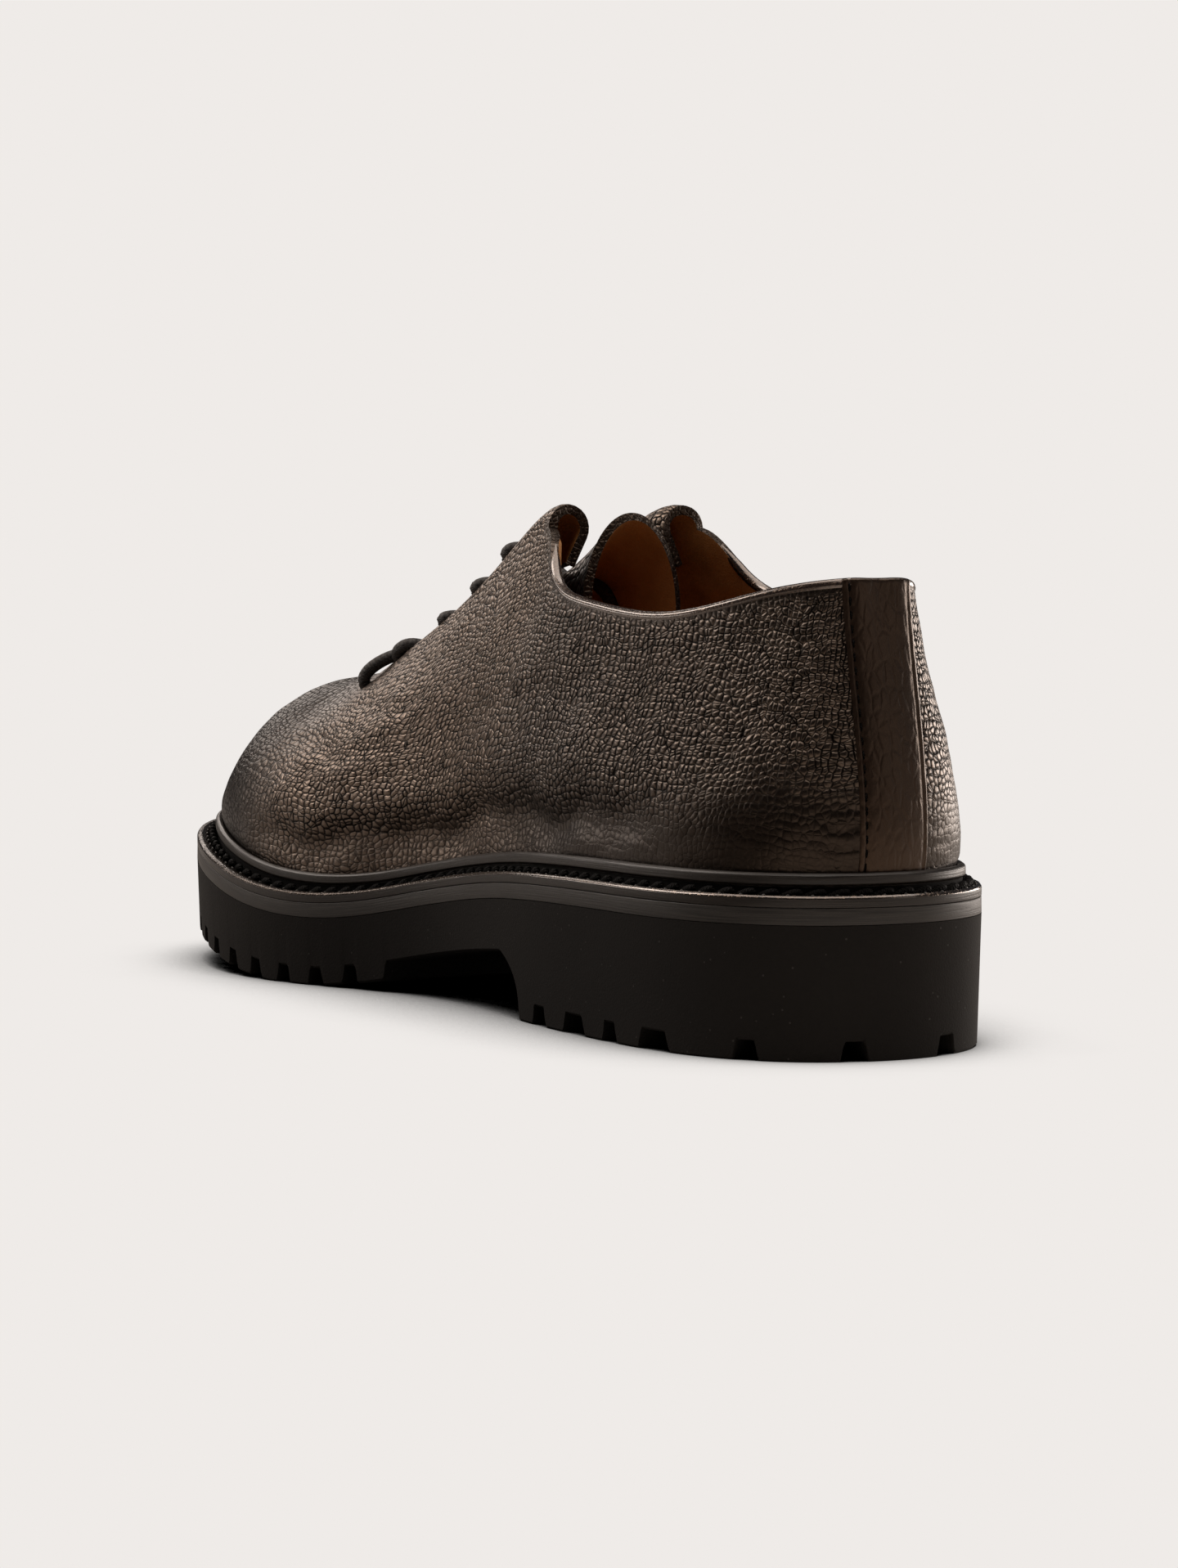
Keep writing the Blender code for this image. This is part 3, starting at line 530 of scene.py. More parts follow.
strap_leather = plain_leather("strap_leather", (0.0110, 0.0058, 0.0041), (0.0060, 0.0031, 0.0022), 0.36,
                              0.06 * MM, (2.2 * MM, 2.2 * MM, 4.5 * MM), 0.7)
bead_leather = waxed(plain_leather("bead_leather", (0.026, 0.015, 0.011), (0.014, 0.008, 0.006), 0.26,
                                   0.05 * MM, 1.2 * MM, 1.0))
waxed_edge = waxed(plain_leather("waxed_edge", (0.020, 0.016, 0.013), (0.010, 0.008, 0.007), 0.22,
                                 0.05 * MM, 1.2 * MM, 1.0), 0.06, 0.30)
lining = plain_leather("lining_leather", (0.46, 0.215, 0.070), (0.34, 0.145, 0.042), 0.62, 0.06 * MM, 0.7 * MM)
edge_paint = plain_leather("edge_paint", (0.012, 0.009, 0.0075), (0.005, 0.004, 0.0035), 0.40, 0.25 * MM, 1.1 * MM)
print("leathers:", ", ".join(m.name for m in bpy.data.materials if "leather" in m.name))

# %% [markdown]
# ## Foam, trimmed edges and cords
# The sole is matte closed cell foam, so it needs only a fine mould skin and a few pale specks. Midsole
# and welt are cut edges with streaks along them, which read the length along the edge from a UV map.
# Thread and lace are twisted, so slanted ridges wind round them.

# %% Foam, edge and cord recipes
def moulded_foam(name):
    """Matte closed cell foam: a fine mould skin with tiny pale specks."""
    finish, shader, place, _ = new_finish(name, 0.86, 0.25)
    bump(shader, noise(place, 0.45 * MM, detail=4.0), 0.10 * MM)
    speck = ramp(cells(scaled(place, 3.4 * MM), "F1"), 0.05, 0.085)
    tone = blend(noise(place, 25 * MM, detail=3.0), (0.0105, 0.0092, 0.0082), (0.0175, 0.0155, 0.0140))
    blend(speck, (0.045, 0.042, 0.039), tone).into(shader, "Base Color")
    return finish


def layered_edge(name, light, dark, roughness, depth):
    """A trimmed edge: fine streaks along it, from UV metres along and up."""
    finish, shader, place, edge_uv = new_finish(name, roughness)
    streak = noise(edge_uv, (16 * MM, 0.32 * MM, 1.0), detail=5.0)
    bump(shader, streak + noise(place, 0.5 * MM, detail=3.0) * 0.35, depth)
    blend(ramp(streak, 0.3, 0.7), dark, light).into(shader, "Base Color")
    ramp(streak, 0.2, 0.8, roughness - 0.08, roughness + 0.10).into(shader, "Roughness")
    return finish


def spun_thread(name, light, dark, roughness, pitch, specular=0.5):
    """Braided or twisted cord: slanted ridges from UV turns and metres along, with painted shade in the grooves."""
    finish, shader, place, cord_uv = new_finish(name, roughness, specular)
    turns, lean = cord_uv.part("X") * 2.0, cord_uv.part("Y") / pitch
    one, two = ((way * (2 * math.pi)).math("SINE") for way in (lean + turns, lean - turns))
    weave = one.math("MAXIMUM", two)
    bump(shader, weave + noise(place, 0.3 * MM, detail=3.0), 0.12 * MM)
    # painted shade: the grooves between the ridges are coloured darker than the ridges
    blend(ramp(weave, -0.4, 0.9), dark, light).into(shader, "Base Color")
    return finish


print("recipes:", moulded_foam.__name__, layered_edge.__name__, spun_thread.__name__)

# %% The other finishes
foam = moulded_foam("foam_rubber")
midsole_edge = layered_edge("midsole_edge", (0.046, 0.041, 0.036), (0.020, 0.018, 0.016), 0.46, 0.07 * MM)
welt_edge = layered_edge("welt_leather", (0.030, 0.024, 0.019), (0.014, 0.0112, 0.009), 0.36, 0.08 * MM)
waxed_lace = spun_thread("waxed_lace", (0.034, 0.028, 0.024), (0.012, 0.010, 0.009), 0.55, 1.5 * MM)
thread = spun_thread("black_thread", (0.0038, 0.0033, 0.0030), (0.0012, 0.0011, 0.0010), 0.65, 0.8 * MM, 0.08)
# painted shade: a near black finish for the welt's sewn groove
painted_groove_shade, shade, _, _ = new_finish("painted_groove_shade", 0.8, 0.15)
shade.inputs["Base Color"].default_value = (0.003, 0.0026, 0.0024, 1)
print("finishes:", len(bpy.data.materials))

# %% [markdown]
# ## The outsole
# The foam sole is moulded in one shot: a wall that leans in a little, a block heel, a bare waist, and
# lugs parted by wedge shaped gaps. Its underside is a height over the plan, so a gap is only a raised
# strip of that height, and the wall's lower edge follows the same height all the way round.

# %% Height of the underside
HEEL_BREAST, BREAST_TOP, FORE_TREAD = 101 * MM, 112 * MM, 166.5 * MM
HEEL_NOTCHES = np.array(((0.0505, 7.0), (0.1485, 6.6), (0.238, 12.0), (0.286, 6.6), (0.327, 11.4), (0.368, 7.9)))
FORE_PITCH, FORE_WIDTH, FORE_FIRST = 11.8 * MM, 5.6 * MM, 177.3 * MM
RECESS_INSET, NOTCH_REACH, NOTCH_OVERHANG = 15 * MM, 17.5 * MM, 4 * MM
FIELDS = np.array(((20, 84), (182, 284))) * MM
CROSSES = ((193, 10, 7), (215, 10, 7), (237, 10, 7), (258, 10, 7), (52, 15, 9.1))


def notch_places():
    """Place round the outline and width at the floor of every gap between side lugs."""
    found = [(s * place, width * MM) for place, width in HEEL_NOTCHES for s in (-1, 1)]
    fine = np.linspace(round_of(FORE_FIRST), 0.985, 600)
    for side in (-1, 1):
        run = run_along(outline(side * fine))
        count = int(run[-1] // FORE_PITCH)
        found += [(side * p, FORE_WIDTH)
                  for p in np.interp(np.arange(count + 1) * run[-1] / (count + 0.5), run, fine)]
    return found


def gap_share(x, y, around, width):
    """How much of the lug depth one gap removes: 1 along its middle, 0 outside its slanted sides."""
    out, inn = rim(around, -NOTCH_OVERHANG), rim(around, NOTCH_REACH)
    reach = np.linalg.norm(inn - out)
    way = (inn - out) / reach
    deep = (x - out[0]) * way[0] + (y - out[1]) * way[1]
    aside = np.abs((y - out[1]) * way[0] - (x - out[0]) * way[1])
    taper = 1 - 0.45 * np.clip(deep / reach, 0, 1)
    wide, narrow = width / 2 * 0.97 * taper, width / 2 * 0.72 * taper
    inside = step_up(-deep, -reach - 0.4 * MM, -reach + 0.4 * MM) * (deep > -1 * MM)
    return np.clip((wide - aside) / (wide - narrow), 0, 1) * inside


def underside(x, y):
    """Height of the sole's lower face over a place on the plan."""
    share = np.zeros_like(x)
    for low, high in FIELDS:
        place = np.linspace(round_of(low), round_of(high), 60)
        edges = [rim(s * place, np.full(60, RECESS_INSET)) for s in (-1, 1)]
        left, right = (np.interp(y, e[:, 1], e[:, 0]) for e in edges)
        inside = np.minimum(np.minimum(x - left, right - x), np.minimum(y - edges[0][0, 1], edges[0][-1, 1] - y))
        share = np.maximum(share, step_up(inside, -0.3 * MM, 0.5 * MM))
    for around, width in notch_places():
        share = np.maximum(share, gap_share(x, y, around, width))
    for along, arm, bar in CROSSES:
        middle = (outline(round_of(along * MM))[0] + outline(-round_of(along * MM))[0]) / 2
        dx, dy = np.abs(x - middle) / MM, np.abs(y - along * MM) / MM
        block = np.minimum(np.maximum(dx - arm, dy - bar / 2), np.maximum(dx - bar / 2, dy - arm))
        share = np.minimum(share, step_up(block, -0.3, 0.5))
    lugs = tread(y) + LUG_DEPTH * share
    waist = sole_top(y) - SLAB
    rise = np.clip((y - HEEL_BREAST) / (BREAST_TOP - HEEL_BREAST), 0, 1)**0.35
    fall = step_up(y, FORE_TREAD - 0.6 * MM, FORE_TREAD + 0.6 * MM)
    behind = lugs * (1 - rise) + waist * rise
    return np.where(y < FORE_TREAD - 1 * MM, behind, waist * (1 - fall) + lugs * fall)


print("gaps between side lugs:", len(notch_places()))

# %% Outsole
HALF_COUNT, ACROSS_COUNT, CLIMB_COUNT, CHAMFER = 600, 96, 12, 0.5 * MM
half_places = even_places(HALF_COUNT)
sole_loop = loop_places(HALF_COUNT)
wall_top = np.column_stack([outline(sole_loop), sole_top(outline(sole_loop)[:, 1])])
floor_edge = rim(sole_loop, np.full(len(sole_loop), SIDE_DRAFT))
low_z = underside(floor_edge[:, 0], floor_edge[:, 1])
lean = np.clip(low_z / PROFILE[1][0], 0, 1)[:, None]
wall_low = np.column_stack([floor_edge * (1 - lean) + outline(sole_loop) * lean, low_z + CHAMFER])
climb = np.linspace(0, 1, CLIMB_COUNT)[None, :, None]
wall = wall_low[:, None] * (1 - climb) + wall_top[:, None] * climb
# the floor grid runs from the inner edge to the outer edge at each place along the shoe
across = np.linspace(0, 1, ACROSS_COUNT + 1)
left, right = (rim(s * half_places, np.full(HALF_COUNT + 1, SIDE_DRAFT)) for s in (-1, 1))
trim = np.clip(CHAMFER / np.maximum(np.linalg.norm(right - left, axis=1), 1e-6), 0, 0.4)[:, None]
share = trim + (1 - 2 * trim) * across[None]
floor_x = left[:, :1] * (1 - share) + right[:, :1] * share
floor_y = left[:, 1:] * (1 - share) + right[:, 1:] * share
floor = np.stack([floor_x, floor_y, underside(floor_x, floor_y)], -1)
# the first and last point of each row sit on the wall's lower loop, past the chamfer
inner, outer = halves(HALF_COUNT)
floor = np.concatenate([wall[inner, :1], floor, wall[outer, :1]], 1)
top = np.stack([wall_top[inner], wall_top[outer]], 1)
sole_points, sole_quads = gathered([
    (wall.reshape(-1, 3), woven(CLIMB_COUNT, len(sole_loop), close_cols=True)),
    (floor.reshape(-1, 3), woven(floor.shape[1], HALF_COUNT + 1)[:, ::-1]),
    (top.reshape(-1, 3), woven(2, HALF_COUNT + 1)),
])
outsole = piece("lug_outsole", sole_points, sole_quads, [foam], "foam", sharp=38)
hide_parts("outsole")
print("outsole quads:", len(outsole.data.polygons))

# %% [markdown]
# ## Midsole and welt
# Above the foam lie a trimmed midsole band and the welt: a flange with a burnished edge, a sewn groove,
# and a lip that stands against the upper. Both are profiles carried round the outline.

# %% Bands round the outline
BAND_COUNT = 440


def carried(profile, closed=True):
    """A profile of (inset, rise above the outsole) carried round the outline, with UV in metres."""
    around = loop_places(BAND_COUNT)
    edge = outline(around)
    run = run_along(edge)
    loops, uv = [], []
    length = 0.0
    for k, (inset, rise) in enumerate(profile):
        ring = rim(around, np.broadcast_to(inset, around.shape))
        loops.append(np.column_stack([ring, sole_top(ring[:, 1]) + rise]))
        if k:
            length += np.linalg.norm(loops[-1] - loops[-2], axis=1).mean()
        uv.append(np.column_stack([run, np.full(len(run), length)]))
    points = np.stack(loops, 1)
    quads = woven(len(profile), len(around), close_cols=True, close_rows=closed)
    return points.reshape(-1, 3), quads, np.stack(uv, 1).reshape(-1, 2)


def rounded(corners, radius, steps=4):
    """A polyline with its inner corners rounded: each corner becomes a short quadratic curve."""
    found = [corners[0]]
    for before, corner, after in zip(corners, corners[1:], corners[2:]):
        a, b, c = (np.array(p, dtype=float) for p in (before, corner, after))
        r = min(radius, 0.45 * np.linalg.norm(a - b), 0.45 * np.linalg.norm(c - b))
        start, end = b + (a - b) / np.linalg.norm(a - b) * r, b + (c - b) / np.linalg.norm(c - b) * r
        for t in np.linspace(0, 1, steps):
            found.append(tuple((1 - t)**2 * start + 2 * t * (1 - t) * b + t * t * end))
    return found + [corners[-1]]


print("places round each band:", 2 * BAND_COUNT)

# %% Midsole
band_low, band_high = 0.1 * MM, MIDSOLE_TOP - 0.05 * MM
midsole_profile = rounded([(6 * MM, band_low), (0.0, band_low), (0.05 * MM, band_high), (6 * MM, band_high)],
                          0.16 * MM)
band_points, band_quads, band_uv = carried(midsole_profile)
midsole = piece("midsole_band", band_points, band_quads, [midsole_edge], "midsole", uv=band_uv)
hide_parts("midsole")
print("midsole quads:", len(midsole.data.polygons))

# %% Storm welt
welt_around = loop_places(BAND_COUNT)
lip = ledge(welt_around)
foot = MIDSOLE_TOP + 0.05 * MM
# inset and rise in millimetres: the flange from the outline, the rest from the lip
plain = [(3.0, 0.0), (0.02, 0.0), (0.0, 1.9), (0.45, 2.5)]
groove = [(-2.5, 2.4), (-2.0, 1.5), (-0.9, 1.2), (0.15, 1.5), (0.35, 4.2), (-0.4, 4.5), (-0.35, 6.35), (0.5, 7.0),
          (1.5, 6.5), (1.62, 0.0)]
base = rounded([(i * MM, foot + r * MM) for i, r in plain], 0.22 * MM, 5)
upper_part = rounded([(i * MM, foot + r * MM) for i, r in plain[-1:] + groove], 0.36 * MM, 5)[1:]
welt_profile = [(np.full(len(lip), i), r) for i, r in base] + [(lip + i, r) for i, r in upper_part]
welt_points, welt_quads, welt_uv = carried(welt_profile)
# the sewn groove between flange and lip is painted near black as shade, and the flange's rounded edge is waxed
low_rows = [k for k, (_, r) in enumerate(welt_profile[:-1]) if k >= len(base) + 2 and r < foot + 4.1 * MM]
welt_row = welt_quads[:, 0] % len(welt_profile)
welt_kind = np.isin(welt_row, low_rows[:-1]) + 2 * ((welt_row >= len(base) - 5) & (welt_row < len(base) + 2))
welt = piece("storm_welt", welt_points, welt_quads, [welt_edge, painted_groove_shade, waxed_edge], "welt", uv=welt_uv,
             indices=np.minimum(welt_kind, 2))
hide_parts("welt")
print("points on the welt's profile:", len(welt_profile))

# %% [markdown]
# ## Welt stitches
# A heavy waxed thread runs in the welt's groove. Each stitch is a short tube that swells in its middle
# and slants a little, so that the row looks plaited. A wheel presses a small mark beside every stitch.

# %% Welt stitches
STITCH_PITCH, STITCH_THICK = 4.9 * MM, 0.92 * MM
STITCH_SIDES, STITCH_POINTS = 10, 11


def stitch_row():
    """Slanted plump stitches in the welt's groove, each dipping into the next one's hole."""
    fine = np.linspace(-1, 1, 4001)
    edge = rim(fine, ledge(fine) - 1.0 * MM)
    run = run_along(edge)
    count = int(round(run[-1] / STITCH_PITCH))
    t = np.linspace(-1, 1, STITCH_POINTS)
    stitches, marks = [], []
    for k in range(count):
        place = np.interp((k + 0.5 + 0.60 * t) * run[-1] / count, run, fine)
        slant = np.sin(t * math.pi / 2)
        ring = rim(place, ledge(place) - 1.0 * MM - 0.40 * MM * slant)
        height = foot + 2.5 * MM + 0.75 * MM * slant - 0.5 * MM * t**4
        path = np.column_stack([ring, sole_top(ring[:, 1]) + height])
        stitches.append(tube(path, STITCH_THICK * (1 - 0.42 * t**2), STITCH_SIDES))
        # a small wheel mark on the flange beside each stitch
        spot = np.interp((k + 0.5 + 0.10 * t[::3]) * run[-1] / count, run, fine)
        ring = rim(spot, ledge(spot) - 2.6 * MM)
        marks.append(tube(np.column_stack([ring, sole_top(ring[:, 1]) + foot + 2.42 * MM]), 0.30 * MM, 6))
    return gathered(stitches), gathered(marks), count


(stitch_points, stitch_quads), (mark_points, mark_quads), stitch_count = stitch_row()
stitch_uv = cord_map([STITCH_POINTS] * stitch_count, STITCH_SIDES, 0.65 * MM)
piece("welt_stitches", stitch_points, stitch_quads, [thread], "lace", uv=stitch_uv)
piece("wheel_marks", mark_points, mark_quads, [welt_edge], "welt",
      uv=np.column_stack([mark_points[:, 1], mark_points[:, 2]]))
print("welt stitches:", stitch_count)

# %% [markdown]
# ## The upper
# The upper is one skin pulled over the last. Each ruling starts inside the welt, climbs as a cubic curve
# to the collar or to the ridge of the vamp, and along the throat it goes on round the rolled facing.

# %% Rulings
FOOT, HALF, FLARE, TOP_ALONG, TOP_HEIGHT, LEAN, FOOT_REACH, RISE, TOP_REACH, ROLL, TURN, FLAP = range(12)
S_ROUND = round_of(SECTIONS[FOOT] * MM)
S_LOOP = np.concatenate((-S_ROUND[:0:-1], S_ROUND[:-1]))
FACING_PLACE, THROAT_PLACE = round_of(FACING_TOP), round_of(THROAT_END)


def section(column, around, odd=False):
    """A column of the sections table round the whole upper; an odd one changes sign on the inner side."""
    values = SECTIONS[column]
    return cubic(S_LOOP, np.concatenate((values[:0:-1] * (-1 if odd else 1), values[:-1])), around, 2.0)


def ridge_aside(along):
    """How far the vamp's ridge lies to the inner side, growing evenly towards the toe."""
    first = SECTIONS[TOP_ALONG][6] * MM
    return RIDGE_ASIDE * np.clip((along - first) / (LENGTH - first), 0, 1)


def rulings(around, wall_rows, roll_rows):
    """Lines of the upper's outside: seat, wall from welt to top, then the facing's roll."""
    around = np.asarray(around, float)
    edge = rim(around, ledge(around) + LIP_WIDTH)
    level = sole_top(edge[:, 1])
    seat = np.column_stack([edge, level + MIDSOLE_TOP + 2 * FIT_GAP])
    start = np.column_stack([edge, level + LIP_TOP])
    half = section(HALF, around, True) + section(FLARE, around) * (around > 0)
    half = np.where(np.abs(around) < THROAT_PLACE - 1e-9, half, 0.0) * MM
    along = section(TOP_ALONG, around) * MM
    top = np.column_stack([half + ridge_aside(along), along, section(TOP_HEIGHT, around) * MM])
    flat = np.array([1.0, 1.0, 0.0])
    edge_out = unit(np.column_stack([outline(around), level]) * flat - start * flat)
    facing = step_up(np.abs(around), 0.22, FACING_PLACE) * (np.abs(around) < THROAT_PLACE)
    sideways = np.sign(around)[:, None] * np.array([1.0, 0.0, 0.0])
    out = unit(unit((start - top) * flat) * (1 - facing[:, None]) + sideways * facing[:, None])
    up = np.array([0.0, 0.0, 1.0])
    lean, rise = np.radians(section(LEAN, around))[:, None], np.radians(section(RISE, around))[:, None]
    chord = np.linalg.norm(top - start, axis=1, keepdims=True)
    way = up * np.sin(rise) - out * np.cos(rise)
    low = start + (edge_out * np.sin(lean) + up * np.cos(lean)) * chord * section(FOOT_REACH, around)[:, None]
    high = top - way * chord * section(TOP_REACH, around)[:, None]
    t = np.linspace(0, 1, wall_rows)[None, :, None]
    wall = ((1 - t)**3 * start[:, None] + 3 * t * (1 - t)**2 * low[:, None]
            + 3 * t**2 * (1 - t) * high[:, None] + t**3 * top[:, None])
    radius, flap = section(ROLL, around) * MM, section(FLAP, around) * MM
    turn = np.radians(section(TURN, around))
    reach = radius * turn + flap
    reach = np.where(turn < math.pi / 2, np.minimum(reach, 0.8 * np.abs(half)), reach)
    run = np.linspace(0, 1, roll_rows + 1)[None, 1:] * reach[:, None]
    angle = np.minimum(run / radius[:, None], turn[:, None])
    heading = (rise - angle)[..., None]
    radius, rise = radius[:, None, None], rise[..., None]
    roll = (top[:, None] + up * radius * (np.cos(heading) - np.cos(rise))
            - out[:, None] * radius * (np.sin(rise) - np.sin(heading)))
    straight = (run - angle * radius[..., 0])[..., None]
    roll = roll + straight * (up * np.sin(heading) - out[:, None] * np.cos(heading))
    return np.concatenate([seat[:, None], wall, roll], 1)


print("facings from place", round(float(FACING_PLACE), 3), "to", round(float(THROAT_PLACE), 3))

# %% Upper
WALL_ROWS, ROLL_ROWS = 58, 18
UPPER_COUNTS = (118, 92, 84)


def upper_columns():
    """Places of the rulings round one half, with the facing's ends on rulings of their own."""
    ends = (0.0, FACING_PLACE, THROAT_PLACE, 1.0)
    parts = [np.linspace(a, b, n, endpoint=False) for a, b, n in zip(ends, ends[1:], UPPER_COUNTS)]
    return np.concatenate(parts + [[1.0]])


half_columns = upper_columns()
columns = np.concatenate((-half_columns[::-1], half_columns[1:]))
skin = rulings(columns, WALL_ROWS, ROLL_ROWS)
rows = skin.shape[1]
climbed = np.concatenate([np.zeros((len(columns), 1)),
                          np.cumsum(np.linalg.norm(np.diff(skin, axis=1), axis=2), axis=1)], 1)
climbed = climbed - climbed[:, 1:2]
# both sides share one map, mirrored, so that the grain meets along the ridge of the vamp
whole = climbed[:, WALL_ROWS:WALL_ROWS + 1]
shared = (whole + whole[::-1]) / 2
upper_v = np.where(np.arange(rows) <= WALL_ROWS, climbed / whole * shared, shared + climbed - whole)
gaps = np.linalg.norm(np.diff(skin[:, [1, WALL_ROWS // 2, WALL_ROWS]], axis=0), axis=2).mean(1)
gaps = ((gaps + gaps[::-1]) / 2)[len(half_columns) - 1:]
upper_u = np.concatenate([[0], np.cumsum(gaps)])
upper_u = np.broadcast_to(np.concatenate([upper_u[::-1], upper_u[1:]])[:, None], upper_v.shape)
upper_uv = np.stack([upper_u, upper_v], -1).reshape(-1, 2)
print("rulings:", len(columns), "with", rows, "points each")

# %% [markdown]
# ## Creases
# Worn leather folds where the foot bends it. The grain alone can't show that, so the main creases are
# valleys in the skin itself, placed along short lines, over slow swells from a sum of sines.

# %% Creases placed one by one
# each crease: side, depth and half width in mm, then its places as (from the heel, above the welt) in mm
CREASES = (
    (-1, 0.42, 2.6, ((238, 31), (222, 35), (204, 31), (186, 34), (170, 31))),
    (-1, 0.40, 2.4, ((232, 22), (214, 25), (198, 21), (182, 24), (160, 22), (142, 25))),
    (-1, 0.36, 2.2, ((226, 44), (208, 48), (190, 44), (176, 46))),
    (-1, 0.40, 2.0, ((150, 4.5), (138, 3.2), (122, 4.4), (108, 3.4))),
    (-1, 0.28, 2.6, ((150, 40), (128, 36), (104, 38), (84, 34))),
    (1, 0.42, 2.6, ((236, 30), (216, 34), (196, 30), (172, 32))),
    (1, 0.40, 2.4, ((230, 20), (206, 24), (184, 20), (160, 23))),
    (1, 0.36, 2.2, ((222, 43), (202, 47), (182, 43))),
)


def waves(points, size, seed):
    """Slow swelling over space: a sum of sines with random directions, about -1 to 1."""
    draw = np.random.default_rng(seed)
    ways = unit(draw.normal(size=(14, 3))) * 2 * math.pi / (size * draw.uniform(0.7, 1.6, (14, 1)))
    return np.sin(points @ ways.T + draw.uniform(0, 2 * math.pi, 14)).sum(-1) / 5.3


def crease_depth(u, v, depth, half, places):
    """A valley along a polyline with low shoulders beside it, fading out at both ends."""
    places = np.array(places) * MM
    run = run_along(places)
    fine = np.linspace(0, run[-1], 60)
    line = np.column_stack([cubic(run, k, fine) for k in places.T])
    apart = np.linalg.norm(np.stack([u, v], -1)[..., None, :] - line, axis=-1)
    nearest = apart.argmin(-1)
    near = apart.min(-1) / (half * MM)
    fade = np.sin(math.pi * np.clip(nearest / 59, 0, 1))**0.6
    return depth * MM * fade * (-np.exp(-near**2) + 0.4 * np.exp(-(near - 2)**2))


print("creases:", len(CREASES))

# %% Skin with its swells
outward = unit(np.cross(np.gradient(skin, axis=0), np.gradient(skin, axis=1)))
# the quarter is filled out below the facing's top, where the leather stays full over the last
part_up = np.clip(upper_v / shared, 0, 1)
full = 4.2 * MM * np.sin(math.pi * part_up**1.5) * np.exp(-((skin[..., 1] - 127 * MM) / (17 * MM))**2)
swell = 0.40 * MM * waves(skin, 26 * MM, 3) + 0.12 * MM * waves(skin * np.array([1, 1, 1.8]), 11 * MM, 5)
# above the welt the leather dips in along a wavy line and rolls out again over it
along_roll = step_up(upper_u / MM, 30, 85) * (1 - step_up(upper_u / MM, 212, 240))
above = upper_v / MM - 1.3 * np.sin(upper_u / (9 * MM)) - 0.9 * np.sin(upper_u / (4.3 * MM) + 1.0)
swell = swell + MM * along_roll * (1.6 * np.exp(-0.5 * ((above - 20) / 7.0)**2)
                                   - 2.3 * np.exp(-0.5 * ((above - 8.5) / 3.4)**2))
for side, depth, half, places in CREASES:
    one_side = (np.sign(columns) == side)
    swell[one_side] += crease_depth(upper_u[one_side], upper_v[one_side], depth, half, places)
from_top = (shared - upper_v) / MM
calm = step_up(upper_v / MM, 0.0, 2.5) * step_up(from_top, 1.0, 12.0) * step_up(upper_u / MM, 8.0, 24.0)
moved = swell * calm + full
skin = skin + outward * moved[..., None]
print("leather moved by", round(moved.min() / MM, 2), "to", round(moved.max() / MM, 2), "mm")

# %% Upper skin
# distance below the collar's edge, large on the vamp and the facings
from_collar = np.where(np.abs(columns)[:, None] <= FACING_PLACE + 1e-9, np.abs(shared - upper_v),
                       np.maximum(np.abs(shared - upper_v), (np.abs(columns)[:, None] - FACING_PLACE) * 0.3))
quads = woven(rows, len(columns))
row_of, column_of = quads[:, 0] % rows, quads[:, 0] // rows
on_facing = (np.abs(columns) >= FACING_PLACE - 1e-9) & (np.abs(columns) <= THROAT_PLACE + 1e-9)
keep = (row_of < WALL_ROWS) | (on_facing[column_of] & on_facing[column_of + 1])
used = np.unique(quads[keep])
renumber = np.zeros(rows * len(columns), int)
renumber[used] = np.arange(len(used))
upper = piece("leather_upper", skin.reshape(-1, 3)[used], renumber[quads[keep]],
              [upper_leather, lining, edge_paint], "leather", uv=upper_uv[used],
              marks={"from_collar": from_collar.ravel()[used]})
thicken(upper, LEATHER, 0.7 * MM, even=True)
# the collar's rolled edge keeps the leather; only the facings' cut edge is painted
FACING_FRONT = 112 * MM
faces = upper.data.polygons
kinds, middles = np.zeros(len(faces), np.int32), np.zeros(len(faces) * 3, np.float32)
faces.foreach_get("material_index", kinds)
faces.foreach_get("center", middles)
kinds[(kinds == 2) & (middles.reshape(-1, 3)[:, 1] + MIDDLE[1] < FACING_FRONT)] = 0
faces.foreach_set("material_index", kinds)
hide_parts("upper")
print("upper quads:", len(upper.data.polygons))

# %% [markdown]
# ## Collar
# The collar is finished with a thin rolled bead that catches the light as a bright line. It is a tube
# along the top of the skin, slimmer where it runs out into the facings, with the lining's edge inside.

# %% Collar bead
on_collar = np.abs(columns) <= FACING_PLACE + 1e-9
top_line, top_out = skin[on_collar, WALL_ROWS], outward[on_collar, WALL_ROWS]
bead_path = top_line - top_out * LEATHER / 2 - np.array([0.0, 0.0, 0.70 * MM])
slim = 1 - 0.92 * step_up(np.abs(columns[on_collar]), FACING_PLACE - 0.035, FACING_PLACE - 0.008)
piece("collar_bead", *tube(bead_path, 1.36 * MM * slim, 14), [bead_leather], "leather")
# the lining's edge stands a little proud of the bead near the facings
lined = np.abs(np.abs(columns[on_collar]) - (FACING_PLACE - 0.075)) < 0.065
lined = lined & (columns[on_collar] < 0)
lining_path = (top_line - top_out * LEATHER * 0.96)[lined] - np.array([0, 0, 0.30 * MM])
piece("lining_edge", *tube(lining_path, 0.36 * MM, 8), [lining], "lining")
print("collar bead:", round(run_along(bead_path)[-1] / MM), "mm long")

# %% [markdown]
# ## Backstay
# A narrow strip covers the seam down the back. It lies on the upper's own surface, a little proud, with
# turned edges and a groove beside each edge. The groove that shows on the inner side has a row of stitches.

